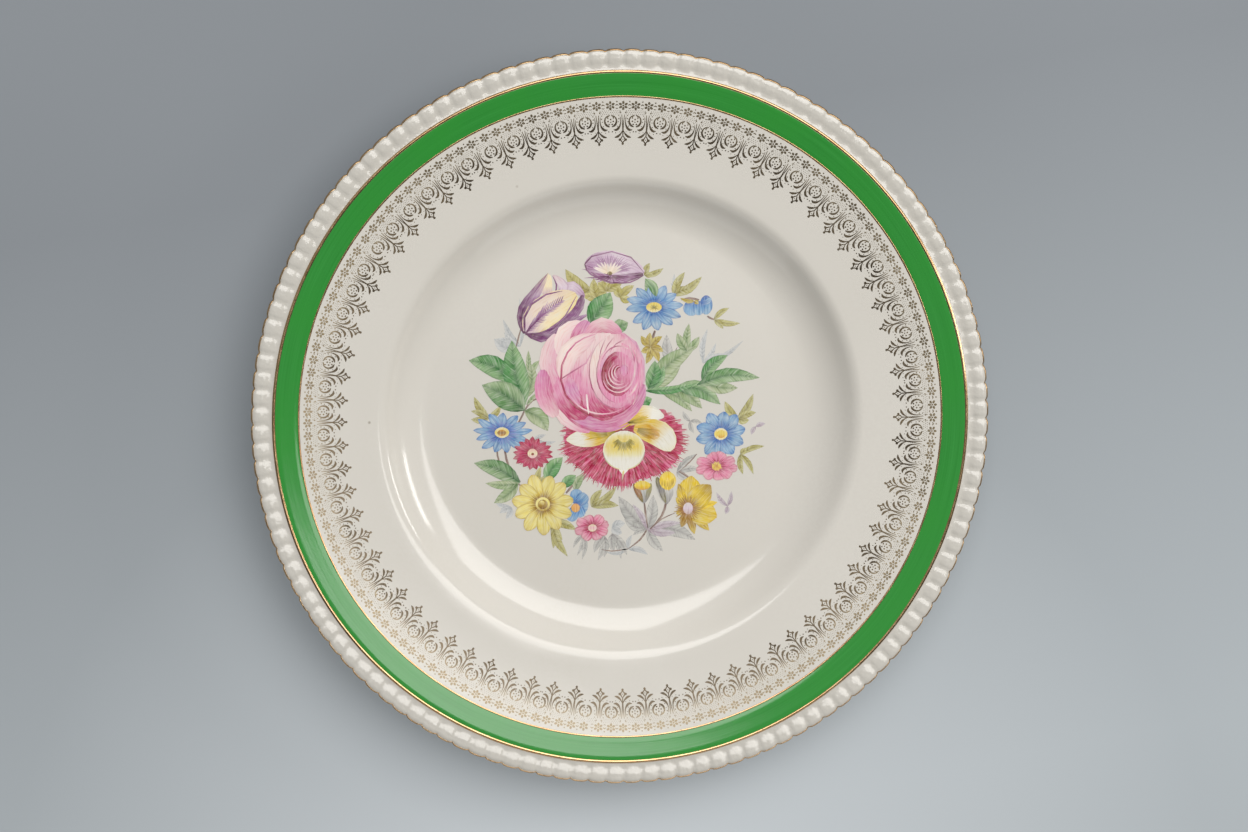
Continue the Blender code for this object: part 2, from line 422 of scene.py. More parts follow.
gold = bright_gold()
line_start = 121.25 * mm
shoulder_height = rim_height(shoulder_radius)
over_shoulder = [
    (line_start, rim_height(line_start) - 0.05 * mm),
    (band_outer, rim_height(band_outer) + gold_rise),
    (shoulder_radius, shoulder_height + gold_rise),
]
line_end = (shoulder_radius + 0.62 * mm, shoulder_height - 0.19 * mm)
over_shoulder += ramped(over_shoulder[-1], line_end, shoulder_slope, -0.35, 6)
over_shoulder += [(radius, shoulder_height - 0.55 * mm) for radius in (122.45 * mm, line_start)]
over_shoulder += [over_shoulder[0]]
outer_line = turned("shoulder_gold_line", over_shoulder, gold, notch=0.0)
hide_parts("outer_gold_line")

inner_section = layer_section(112.85 * mm, band_inner + 0.1 * mm, 0.07 * mm, steps=3)
inner_line = turned("inner_gold_line_fine", inner_section, gold)
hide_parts("inner_gold_line")

edge_top, edge_bottom = 33, -38
skin = 0.05 * mm
edge_middle = (bead_radius, bead_height)
edge_section = arc(edge_middle, 3.2 * mm + skin, 2.1 * mm + skin, edge_top, edge_bottom, 10)
edge_section += arc(edge_middle, 3.1 * mm, 2.0 * mm, edge_bottom, edge_top, 5)
edge_section += [edge_section[0]]
edge_line = turned("edge_gilding", edge_section, gold)
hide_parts("rim_gilding")

for line in (outer_line, inner_line, edge_line):
    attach(line, "root")


# ---------------------------------------------------------------------------------------------------------
# The gold border. A transfer printed in liquid gold and fired: a chain of small flowers next to the green
# band, rows of fine dots, then palmettes that point at the well, with a ringed rosette between each two.

motif_count = 76
print_radius = 104.0
print_top, print_sunk = 0.03 * mm, 0.05 * mm


class GoldPrint:
    """Collects the flat strokes and dots of one motif, drawn as (offset along the rim, radius) in mm."""

    def __init__(self):
        self.points, self.faces = [], []

    def place(self, across, radius, lift):
        """Adds a point on the rim and gives its number."""
        turn = across / print_radius
        reach = radius * mm
        self.points.append((reach * math.cos(turn), reach * math.sin(turn), rim_height(reach) + lift))
        return len(self.points) - 1

    def stroke(self, line, widths, steps):
        """A flat ribbon along a smooth line; its width runs through the given widths in mm."""
        middle = smooth_line(line, np.linspace(0, 1, steps + 1))
        spread = np.interp(np.linspace(0, 1, steps + 1), np.linspace(0, 1, len(widths)), widths) / 2
        along = np.gradient(middle, axis=0)
        side = np.stack([-along[:, 1], along[:, 0]], 1) / np.linalg.norm(along, axis=1)[:, None]
        rows = []
        for (s, r), (ds, dr), half_width in zip(middle, side, spread):
            left = self.place(s + ds * half_width, r + dr * half_width, print_top)
            right = self.place(s - ds * half_width, r - dr * half_width, print_top)
            rows.append((left, right, self.place(s, r, -print_sunk)))
        for (left, right, keel), (left2, right2, keel2) in zip(rows, rows[1:]):
            self.faces += [(right, left, left2, right2), (left, keel, keel2, left2)]
            self.faces += [(keel, right, right2, keel2)]
        self.faces += [rows[0], rows[-1][::-1]]

    def dot(self, across, radius, size, sides=6, stretch=1.0, lean=0.0):
        """A flat dot of this radius, or an oval stretched along a direction given in degrees."""
        rim = []
        cos, sin = math.cos(math.radians(lean)), math.sin(math.radians(lean))
        for step in range(sides):
            angle = 2 * math.pi * step / sides
            x, y = size * stretch * math.cos(angle), size * math.sin(angle)
            rim.append(self.place(across + x * cos - y * sin, radius + x * sin + y * cos, print_top))
        keel = self.place(across, radius, -print_sunk)
        self.faces += [tuple(reversed(rim))] + [(rim[i], rim[(i + 1) % sides], keel) for i in range(sides)]


def smooth_line(line, shares):
    """The points at these shares of a Catmull-Rom curve through a few points."""
    knots = np.array(line, float)
    knots = np.vstack([2 * knots[0] - knots[1], knots, 2 * knots[-1] - knots[-2]])
    made = []
    for place in np.array(shares) * (len(line) - 1):
        first = min(int(place), len(line) - 2)
        t = place - first
        a, b, c, d = knots[first:first + 4]
        curved = (2 * a - 5 * b + 4 * c - d) * t * t + (3 * b - a - 3 * c + d) * t ** 3
        made.append((2 * b + (c - a) * t + curved) / 2)
    return np.array(made)


def gold_flower(motif, across, radius):
    """One small flower of the chain: six oval petals round a solid centre."""
    for petal in range(6):
        lean = 30 + 60 * petal
        out = 1.08 if lean < 180 else 1.0
        step_s, step_r = math.cos(math.radians(lean)) * out, math.sin(math.radians(lean)) * out
        motif.dot(across + step_s, radius + step_r, 0.42, sides=7, stretch=1.4, lean=lean)
    motif.dot(across, radius, 0.34)


def gold_motif():
    """One palmette, the ringed rosette beside it, two flowers of the chain and its share of the dots."""
    motif = GoldPrint()
    pitch = 2 * math.pi * print_radius / motif_count
    stem = ((0.48, 106.9), (0.26, 104.6), (0.12, 102.0), (0.06, 99.4))
    upper_leaf = ((1.0, 106.2), (0.85, 104.2), (1.3, 102.6), (2.3, 101.6), (3.35, 101.7))
    lower_leaf = ((0.15, 101.4), (0.8, 100.2), (1.85, 99.3), (3.0, 99.0))
    bud_foot = ((0.05, 99.6), (0.5, 98.9), (0.9, 98.2))
    bud_top = ((0.9, 98.2), (0.5, 97.7), (0, 97.1))
    curl = ((0.25, 106.6), (0.95, 106.2), (0.9, 105.5))
    chain_over = ((1.6, 110.1), (2.1, 110.4), (2.65, 110.1))
    chain_under = ((1.7, 109.2), (2.1, 109.0), (2.55, 109.2))
    for side in (-1, 1):
        for line, widths, steps in (
            (stem, (0.22, 0.32, 0.28, 0.22), 6),
            (upper_leaf, (0.18, 0.28, 0.46, 0.85, 0.80, 0.2), 9),
            (lower_leaf, (0.18, 0.38, 0.76, 0.80, 0.2), 7),
            (bud_foot, (0.24, 0.42, 0.5), 2),
            (bud_top, (0.5, 0.42, 0.36), 2),
            (chain_over, (0.26, 0.44, 0.26), 2),
            (chain_under, (0.2, 0.32, 0.2), 2),
        ):
            motif.stroke([(side * across, radius) for across, radius in line], widths, steps)
        ring = [(pitch / 2 + side * 2.05 * math.cos(a), 104.7 + 2.05 * math.sin(a))
                for a in np.radians((84, 50, 15, -20, -52, -80))]
        motif.stroke(ring, (0.2, 0.4, 0.5, 0.66, 0.72, 0.3), 10)
        motif.stroke([(pitch / 2 + side * across, radius) for across, radius in curl], (0.2, 0.34, 0.4), 3)
        motif.dot(side * 1.15, 98.2, 0.48)
        for across, radius, size in (
            (1.45, 105.5, 0.26), (1.65, 104.4, 0.2), (1.95, 102.9, 0.2), (1.5, 106.6, 0.22),
            (3.75, 101.0, 0.26), (2.6, 100.6, 0.18), (1.15, 100.9, 0.16), (2.1, 111.4, 0.28),
        ):
            motif.dot(side * across, radius, size, sides=5)
        motif.dot(side * 0.9, 107.7, 0.26, sides=5, stretch=1.6, lean=side * 60)
    motif.dot(0, 96.75, 0.48)
    motif.dot(0, 98.3, 0.2, sides=5)
    for step in range(5):
        turn = math.radians(90 + 72 * step)
        motif.dot(pitch / 2 + 0.95 * math.cos(turn), 104.3 + 0.95 * math.sin(turn), 0.32, sides=5)
    motif.dot(pitch / 2, 104.3, 0.26, sides=5)
    gold_flower(motif, 0, 110.0)
    gold_flower(motif, pitch / 2, 110.0)
    for row, radius in enumerate((107.1, 107.7, 108.3)):
        for step in range(12):
            across = (step + 0.5 * (row % 2) - 5.5) * pitch / 12
            if abs(across) > 0.8:
                motif.dot(across, radius, 0.15, sides=4)
    mesh = bpy.data.meshes.new("gold_motif")
    mesh.from_pydata(motif.points, [], motif.faces)
    return mesh


def ring_tree():
    """Sets copies of one motif round the plate's axis, each a hair off its place, as transfers lie."""
    inputs = (("Count", "Int"), ("Jitter", "Float"), ("Seed", "Int"))
    group, add, given = new_group("ring_of_motifs", inputs)
    points = add("GeometryNodePoints", {"Count": given["Count"]})
    step = add("ShaderNodeMath", 2 * math.pi, given["Count"], operation="DIVIDE")
    turn = add("ShaderNodeMath", add("GeometryNodeInputIndex"), step, operation="MULTIPLY")
    off = add("FunctionNodeRandomValue", -1.0, 1.0, None, given["Seed"], data_type="FLOAT")
    turn = add("ShaderNodeMath", off, given["Jitter"], turn, operation="MULTIPLY_ADD")
    rotation = add("FunctionNodeEulerToRotation", add("ShaderNodeCombineXYZ", 0.0, 0.0, turn))
    copies = add(
        "GeometryNodeInstanceOnPoints",
        {"Points": points, "Instance": given["Geometry"], "Rotation": rotation},
    )
    real = add("GeometryNodeRealizeInstances", copies)
    painted = add("GeometryNodeSetMaterial", {"Geometry": real, "Material": given["Material"]})
    add("NodeGroupOutput", painted)
    return group


def printed_gold():
    """Gold printed thin: browner than the brushed lines, partly as a painted dark reflection of the room,
    with a painted pale sheen on the dots and chain, broken where dry.
    """
    material, add, shader = new_material("printed_gold", {"Metallic": 0.8})
    place = add("ShaderNodeTexCoord").outputs["Object"]
    patches = ranged(add, noise(add, place, 70.0, 4.0), 0.35, 0.65)
    # Painted sheen: the dots and the chain are mixed towards pale gold all the way round, a reflection put
    # into the colour.
    bright = ranged(add, off_middle(add, place), 105.5 * mm, 108.0 * mm, 0.0, 0.28)
    # The dark brown is partly the thin print's own tone and partly a painted dark reflection of the dim
    # room.
    colour = mixed(add, patches, (0.12, 0.092, 0.060), (0.21, 0.16, 0.10))
    colour = mixed(add, bright, colour, (0.74, 0.60, 0.38))
    dry = ranged(add, noise(add, place, 1500.0, 2.0), 0.58, 0.72, 0.0, 0.5)
    colour = mixed(add, dry, colour, (0.34, 0.29, 0.21))
    surfaced(add, shader, colour, dry, 0.15, 0.2 * mm, ranged(add, patches, 0.0, 1.0, 0.26, 0.40))
    return material


lace = new_piece("gold_filigree", gold_motif())
modifier = lace.modifiers.new("ring", "NODES")
modifier.node_group = ring_tree()
set_inputs(modifier, {"Count": motif_count, "Jitter": 0.0032, "Seed": 5, "Material": printed_gold()})
plain_piece(lace, modifier)
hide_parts("lace_border")
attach(lace, "root")


# ---------------------------------------------------------------------------------------------------------
# The bouquet in the well, which starts with its paint. Every petal, leaf and stem is its own thin coat of
# coloured enamel, laid over the ones before it and fired on, so it stands a hair above the glaze.

coat_thickness = 0.004 * mm


def tint(red, green, blue):
    """A fired colour, from its red, green and blue as a screen shows them, out of 255."""
    return 1.1 * (np.array((red, green, blue)) / 255) ** 2.2


class Enamel:
    """Collects the painted shapes of one kind of flower. Places and widths are in mm from the middle."""

    def __init__(self, seed, base):
        self.points, self.faces, self.colours, self.brush = [], [], [], []
        self.chance = random.Random(seed)
        self.base = base
        self.count = 0

    def shape(self, line, width, shades, coat, outline=(0.8, 0.5), bend=0.0, vein=None, edge=None,
              side=None, grid=(6, 8), vary=0.06):
        """A coat along a smooth line from its root to its tip.

        A coat number sets its height over the glaze. The outline's two powers round off its root and tip.
        The shades run from root to tip. A vein, an edge and a side each add a colour by a share, and a
        side with a negative share lies right of the line.
        """
        line = np.array(line, float)
        if bend:
            run = line[1] - line[0]
            line = np.array([line[0], line.mean(axis=0) + bend * np.array([-run[1], run[0]]), line[1]])
        columns, rows = grid
        t = (1 - np.cos(np.linspace(0, math.pi, rows + 1))) / 2
        middle = smooth_line(line, t)
        ahead = np.gradient(middle, t, axis=0)
        across = np.stack([-ahead[:, 1], ahead[:, 0]], 1) / np.linalg.norm(ahead, axis=1)[:, None]
        a, b = outline
        inside = np.clip(t, 0.01, 0.99)
        widest = (a / (a + b)) ** a * (b / (a + b)) ** b
        half = inside ** a * (1 - inside) ** b / widest * width / 2
        u = np.linspace(-1, 1, columns + 1)
        places = middle[:, None] + across[:, None] * (half[:, None] * u)[:, :, None]
        stops = np.linspace(0, 1, len(shades))
        colour = np.stack([np.interp(t, stops, [shade[k] for shade in shades]) for k in range(3)], 1)
        colour = np.repeat(colour[:, None], columns + 1, axis=1)
        for added, share in (
            (side, lambda s: abs(s) * ((1 + math.copysign(1, s) * u) / 2) ** 1.5 + 0 * t[:, None]),
            (vein, lambda s: s * (1 - abs(u)) ** 4 * (1 - 0.5 * t)[:, None]),
            (edge, lambda s: s * np.maximum(abs(u) ** 8, (t ** 10)[:, None])),
        ):
            if added:
                part = share(added[1])[:, :, None]
                colour = colour * (1 - part) + added[0] * part
        colour = colour * (1 + vary * self.chance.uniform(-1, 1))
        self.add_coat(places, colour, half, t * np.linalg.norm(middle[-1] - middle[0]), coat)

    def add_coat(self, places, colour, half, along, coat):
        """Adds a closed coat: its coloured top, and sides and a bottom that are sunk in the glaze."""
        rows, columns = places.shape[0] - 1, places.shape[1] - 1
        top = floor_height + 0.015 * mm + (self.base + coat + self.count % 7 / 7) * coat_thickness
        bottom = floor_height - 0.03 * mm
        first = len(self.points)
        shift = self.count * 7.3 % 90
        self.count += 1
        for level, chosen in ((top, range(columns + 1)), (bottom, (0, columns))):
            for row in range(rows + 1):
                for column in chosen:
                    self.points.append((*places[row, column] * mm, level))
                    self.colours.append((*colour[row, column], 1))
                    self.brush.append((half[row] * (2 * column / columns - 1), along[row] + shift))

        def at(row, column):
            return first + row * (columns + 1) + column

        def under(row, left):
            return first + (rows + 1) * (columns + 1) + 2 * row + left

        for i in range(rows):
            for j in range(columns):
                self.faces.append((at(i, j), at(i + 1, j), at(i + 1, j + 1), at(i, j + 1)))
            self.faces.append((under(i, 0), under(i, 1), under(i + 1, 1), under(i + 1, 0)))
            self.faces.append((at(i, 0), under(i, 0), under(i + 1, 0), at(i + 1, 0)))
            self.faces.append((at(i, columns), at(i + 1, columns), under(i + 1, 1), under(i, 1)))
        start = [at(0, j) for j in range(columns + 1)]
        end = [at(rows, j) for j in range(columns, -1, -1)]
        self.faces += [(*start, under(0, 1), under(0, 0)), (*end, under(rows, 0), under(rows, 1))]

    def disc(self, centre, radii, shades, coat, **look):
        """An oval patch, shaded from its bottom to its top."""
        low, high = (centre[0], centre[1] - radii[1]), (centre[0], centre[1] + radii[1])
        self.shape((low, high), 2 * radii[0], shades, coat, outline=(0.5, 0.5), **look)

    def crescent(self, centre, radii, start, end, width, shades, coat, outline=(0.45, 0.45), **look):
        """A patch along an oval's arc between two angles in degrees; its left side is the inner one."""
        angles = np.radians(np.linspace(start, end, 9))
        line = np.stack([centre[0] + radii[0] * np.cos(angles), centre[1] + radii[1] * np.sin(angles)], 1)
        self.shape(line, width, shades, coat, outline=outline, grid=(4, 16), **look)

    def stroke(self, line, width, shades, coat, **look):
        """One thin stroke of the brush."""
        self.shape(line, width, shades, coat, outline=(0.2, 0.5), grid=(2, 3 + 3 * (len(line) > 2)), **look)

    def ring(self, centre, radii, petals, width, shades, coat, turn=0.0, root=0.15, **look):
        """Petals round a centre. Where the two radii differ, the flower is seen from the side."""
        for number in range(petals):
            angle = math.radians(turn + (number + self.chance.uniform(-0.12, 0.12)) * 360 / petals)
            way = np.array((math.cos(angle), math.sin(angle)))
            reach = (1 + self.chance.uniform(-0.07, 0.05)) * np.array(radii) * way
            seen = math.hypot(radii[0] * math.sin(angle), radii[1] * math.cos(angle)) / max(radii)
            line = np.array(centre) + np.outer((root, 1), reach)
            level = coat + 2 * number / petals - self.count % 7 / 7
            self.shape(line, width * seen, shades, level, bend=self.chance.uniform(-0.05, 0.05), **look)

    def rays(self, centre, inner, outer, count, width, shades, coat, start=0.0, end=360.0):
        """Fine strokes that spread from a centre, from one oval to another."""
        for number in range(count):
            angle = math.radians(start + (end - start) * (number + self.chance.uniform(0.2, 0.8)) / count)
            way = np.array((math.cos(angle), math.sin(angle)))
            reach = self.chance.uniform(0.82, 1.08)
            line = np.array(centre) + np.array((way * inner, way * np.array(outer) * reach))
            self.stroke(line, width, shades, coat, vary=0.12)

    def leaf(self, root, tip, width, tone, coat, bend=0.0, outline=(0.8, 0.95)):
        """A leaf with a dark rib, one half paler than the other and the colour thinning out at its tip."""
        pale, middling, dark = tone
        light_side = self.chance.choice((-0.75, 0.75))
        self.shape((root, tip), width, (dark, middling, middling, pale), coat, outline=outline, bend=bend,
                   vein=(dark, 0.95), side=(pale, light_side), edge=(dark, 0.5), grid=(8, 10))

    def sprig(self, root, tips, width, tone, coat, bend=0.08):
        """Leaves that fan out from one joint."""
        for number, tip in enumerate(tips):
            full = width * self.chance.uniform(0.9, 1.15)
            self.leaf(root, tip, full, tone, coat + number % 3, bend * (-1) ** number)

    def finish(self, name, material):
        """Makes the piece, with its colours and the direction of its brush strokes stored on its mesh."""
        mesh = bpy.data.meshes.new(name)
        mesh.from_pydata(self.points, [], self.faces)
        painted = mesh.color_attributes.new("paint", "FLOAT_COLOR", "POINT")
        painted.data.foreach_set("color", np.clip(self.colours, 0, 1).ravel())
        corners = np.array(self.brush)[[loop.vertex_index for loop in mesh.loops]]
        mesh.uv_layers.new(name="brush").data.foreach_set("uv", corners.ravel())
        mesh.materials.append(material)
        piece = new_piece(name, mesh)
        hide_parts("floral_transfer")
        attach(piece, "root")


def brushed_enamel(name, ribbed):
    """Thin glossy enamel with strokes along each petal, or side ribs that slant off a leaf's middle."""
    material, add, shader = new_material(name, {})
    paint = add("ShaderNodeAttribute", attribute_name="paint").outputs["Color"]
    uv = add("ShaderNodeUVMap", uv_map="brush").outputs[0]
    split = add("ShaderNodeSeparateXYZ", uv).outputs
    if ribbed:
        width = add("ShaderNodeMath", split[0], operation="ABSOLUTE")
        slant = add("ShaderNodeMath", split[1], width, operation="SUBTRACT")
        run = add("ShaderNodeCombineXYZ", slant, split[0], 0.0)
        flow = add("ShaderNodeVectorMath", run, (1.5, 0.25, 0.0), operation="MULTIPLY")
    else:
        flow = add("ShaderNodeVectorMath", uv, (2.1, 0.22, 0.0), operation="MULTIPLY")
    streaks = noise(add, flow, 1.0, 3.0)
    place = add("ShaderNodeTexCoord").outputs["Object"]
    wash = noise(add, place, 420.0, 2.0)
    lighter = mixed(add, ranged(add, streaks, 0.52, 0.74, 0.0, 0.38), paint, (0.76, 0.74, 0.66))
    darker = mixed(add, ranged(add, streaks, 0.50, 0.30, 0.0, 0.62), lighter,
                   mixed(add, 1.0, paint, paint, "MULTIPLY"))
    colour = mixed(add, ranged(add, wash, 0.35, 0.7, 0.0, 0.16), darker, (0.74, 0.71, 0.63))
    surfaced(add, shader, colour, streaks, 0.12, 0.1 * mm, ranged(add, streaks, 0.3, 0.7, 0.13, 0.24))
    return material


petal_enamel = brushed_enamel("petal_enamel", ribbed=False)
leaf_enamel = brushed_enamel("leaf_enamel", ribbed=True)


# ---------------------------------------------------------------------------------------------------------
# Grey and ghost foliage. The palest leaves and stems, laid first and thinly so that the glaze shows through.
# They fill the ground round the flowers in cool greys and mauve.

ash = (tint(202, 199, 192), tint(178, 177, 171), tint(137, 132, 131))
mauve_ash = (tint(202, 196, 198), tint(180, 166, 174), tint(150, 130, 140))
ghost = (tint(202, 201, 198), tint(184, 185, 184), tint(160, 163, 164))
bark = (tint(120, 98, 92), tint(150, 128, 116), tint(112, 88, 84))

grey_foliage = Enamel(seed=2, base=0)
for tip, width, bend, tone in (
    ((-0.4, -28.9), 5.4, 0.06, ash), ((12.0, -28.6), 4.3, -0.05, ash), ((1.7, -37.2), 3.2, 0.1, ash),
    ((27.1, -44.8), 5.4, 0.12, ash), ((15.5, -48.9), 3.6, -0.08, ash),
    ((22.2, -38.6), 2.5, 0.05, mauve_ash),
    ((4.7, -42.9), 1.79, -0.1, ash), ((20.1, -42.2), 2.9, -0.06, mauve_ash),
    ((4.7, -31.8), 2.1, -0.06, mauve_ash),
):
    grey_foliage.leaf((10.0, -41.0), tip, width, tone, 1 + (tone is mauve_ash), bend)
grey_foliage.stroke(((9.7, -41.1), (7.2, -44.7), (3.0, -47.9)), 0.71, bark, 2)
grey_foliage.stroke(((3.0, -47.9), (-2.8, -48.6), (-6.7, -47.9)), 0.43, bark, 2)
for tip, width in (((10.1, -50.0), 2.1), ((4.4, -42.9), 1.79), ((-4.9, -49.0), 1.43)):
    grey_foliage.leaf((3.0, -47.9), tip, width, ghost, 1, 0.12)
for root, tips, width, tone in (
    ((20.4, -20.4), ((27.7, -13.9), (24.5, -22.9), (28.7, -19.3)), 2.3, ash),
    ((29.7, 18.6), ((31.3, 30.9), (44.2, 26.6), (38.5, 21.9), (34.4, 25.8)), 1.79, ghost),
    ((38.7, -32.9), ((34.7, -27.9), (40.1, -27.5), (38.0, -35.7)), 1.61, mauve_ash),
    ((-38.5, -32.5), ((-44.2, -30.7), (-42.8, -34.3), (-40.6, -36.4)), 2.1, ghost),
    ((-35.3, 25.1), ((-41.3, 34.7), (-35.6, 42.2), (-41.0, 30.1), (-43.8, 27.9)), 1.96, ghost),
    ((25.1, -2.1), ((29.4, -2.8), (26.5, -6.4), (22.6, 1.5)), 1.61, ash),
    ((-31.0, -8.9), ((-26.3, -6.4), (-22.8, -8.9), (-25.6, -10.7)), 1.79, ghost),
    ((-12.8, -42.2), ((-15.3, -50.0), (-16.7, -47.2), (-13.5, -51.5)), 1.61, ash),
    ((-5.6, -42.9), ((-7.8, -51.8), (-9.2, -49.0), (-5.6, -50.8)), 2.5, ash),
    ((-2.8, -42.2), ((0.5, -51.5), (-2.0, -49.0), (2.6, -50.0)), 2.5, ash),
    ((-2.8, -40.0), ((1.9, -38.6), (0.8, -42.2)), 2.9, ghost),
    ((48.7, -4.3), ((52.2, -3.2), (47.2, -7.1)), 1.79, mauve_ash),
    ((20.1, 45.1), ((19.4, 50.5), (18.0, 47.2)), 1.07, ghost),
):
    grey_foliage.sprig(root, tips, width, tone, 0)
grey_foliage.leaf((-36.7, 25.1), (-44.5, 27.9), 3.9, ghost, 1, 0.2)
grey_foliage.leaf((18.3, 17.6), (16.7, 28.9), 3.9, ash, 1, 0.05)
grey_foliage.finish("grey_foliage", leaf_enamel)


# ---------------------------------------------------------------------------------------------------------
# Stems. Thin brown and olive lines that carry the small flowers and buds out from the middle.

stems = Enamel(seed=4, base=1)
for line, width in (
    (((-41.0, -11.8), (-39.5, -17.8), (-35.3, -23.2)), 0.86),
    (((-43.8, -11.1), (-42.8, -16.4), (-38.5, -21.1)), 0.64),
    (((-33.8, 2.5), (-31.0, 5.8), (-26.3, 7.5)), 0.64),
    (((-33.8, 2.5), (-35.6, -1.4), (-38.5, -5.7)), 0.71),
    (((9.4, 9.0), (19.7, 9.3), (29.7, 12.2)), 0.93), (((12.6, 30.4), (11.5, 26.9), (10.8, 23.6)), 0.93),
    (((28.3, 41.2), (24.7, 41.9), (21.9, 41.2)), 0.79), (((31.2, 35.4), (33.0, 34.4), (36.5, 33.7)), 0.71),
    (((16.7, -31.1), (15.1, -36.1), (10.8, -41.1)), 0.93),
    (((8.8, -31.1), (9.4, -36.1), (10.1, -40.7)), 0.71),
    (((10.8, -40.7), (15.1, -37.2), (20.1, -35.0)), 0.50),
    (((18.0, 17.9), (19.0, 21.1), (20.5, 24.4)), 0.57),
    (((29.7, 12.2), (33.0, 16.5), (34.4, 21.1)), 0.71),
    (((-36.7, 25.1), (-35.6, 29.4), (-34.2, 33.7)), 0.57),
    (((-16.0, -24.3), (-13.1, -22.5), (-11.0, -20.0)), 0.93),
    (((-19.2, -27.5), (-16.7, -24.6), (-14.2, -22.1)), 0.79),
    (((-38.1, -22.1), (-34.2, -25.7), (-29.9, -28.9)), 0.64),
    (((21.2, -20.0), (24.4, -22.1), (25.8, -25.0)), 0.79),
    (((-2.0, 47.6), (-4.9, 45.1), (-6.3, 42.6)), 0.71),
    (((27.6, -13.9), (25.1, -16.8), (21.5, -20.0)), 0.43),
):
    stems.stroke(line, width, bark, 2)
stems.finish("stems", petal_enamel)


# ---------------------------------------------------------------------------------------------------------
# Olive sprigs. Small yellow-green leaves in threes and fours, set round the edge of the bouquet.

olive = (tint(200, 196, 146), tint(168, 160, 96), tint(122, 114, 64))
gold_leaf = (tint(204, 190, 112), tint(176, 154, 70), tint(132, 108, 52))
yellow_green = (tint(202, 194, 136), tint(174, 164, 90), tint(132, 120, 60))

olive_sprigs = Enamel(seed=6, base=1)
for root, tips, width, tone in (
    ((-46.5, -0.3), ((-51.7, 7.3), (-52.8, 2.3), (-52.8, -0.7), (-42.3, 4.0)), 2.5, olive),
    ((42.2, -1.5), ((37.6, 4.9), (47.8, 7.5), (48.8, 0.8), (46.3, -1.9)), 2.7, olive),
    ((43.3, -14.1), ((51.9, -11.3), (44.2, -21.4), (48.0, -21.4), (45.1, -11.8)), 2.1, olive),
    ((33.6, 34.2), ((39.0, 38.3), (43.0, 32.8), (36.9, 30.9)), 1.96, olive),
    ((19.2, 42.8), ((23.1, 51.1), (29.2, 49.4), (25.4, 45.3), (20.1, 49.0)), 3.0, olive),
    ((9.0, 49.9), ((10.6, 54.4), (15.5, 52.5), (11.9, 50.1)), 2.3, olive),
    ((-10.1, -32.5), ((-6.4, -26.3), (-1.1, -25.2), (-0.4, -32.2)), 2.7, olive),
    ((-7.8, 41.5), ((-16.0, 50.5), (-13.1, 43.0), (-9.2, 49.0), (-5.6, 49.0)), 3.2, yellow_green),
    ((-4.9, 44.4), ((-11.3, 44.4), (-2.8, 48.7), (0.8, 47.2), (-7.8, 47.6)), 3.2, yellow_green),
    ((0.1, 42.2), ((5.1, 46.5), (4.4, 41.5), (-0.6, 46.9)), 2.9, yellow_green),
    ((-24.2, -37.9), ((-23.8, -47.3), (-18.7, -50.3), (-15.6, -40.7), (-20.6, -44.3)), 2.9, olive),
    ((-29.5, -25.7), ((-28.1, -17.8), (-24.5, -17.8), (-26.7, -21.4)), 2.5, olive),
):
    olive_sprigs.sprig(root, tips, width, tone, 3)
olive_sprigs.leaf((-9.9, 44.4), (-19.2, 52.3), 4.6, yellow_green, 5, 0.12)
for tip in ((10.8, 29.7), (15.1, 28.3), (7.6, 22.9), (15.5, 22.9), (14.0, 19.3), (7.6, 28.6), (9.4, 18.6)):
    olive_sprigs.leaf((11.0, 24.7), tip, 2.5, gold_leaf, 4, 0.08)
olive_sprigs.finish("olive_sprigs", leaf_enamel)


# ---------------------------------------------------------------------------------------------------------
# Green leaves. The fullest leaves of the bouquet, in a clear green with paler washed halves and dark ribs.

green = (tint(176, 192, 152), tint(104, 146, 92), tint(54, 98, 58))
bright_green = (tint(164, 190, 142), tint(80, 142, 78), tint(40, 96, 50))
sage = (tint(192, 196, 164), tint(146, 166, 120), tint(84, 112, 68))

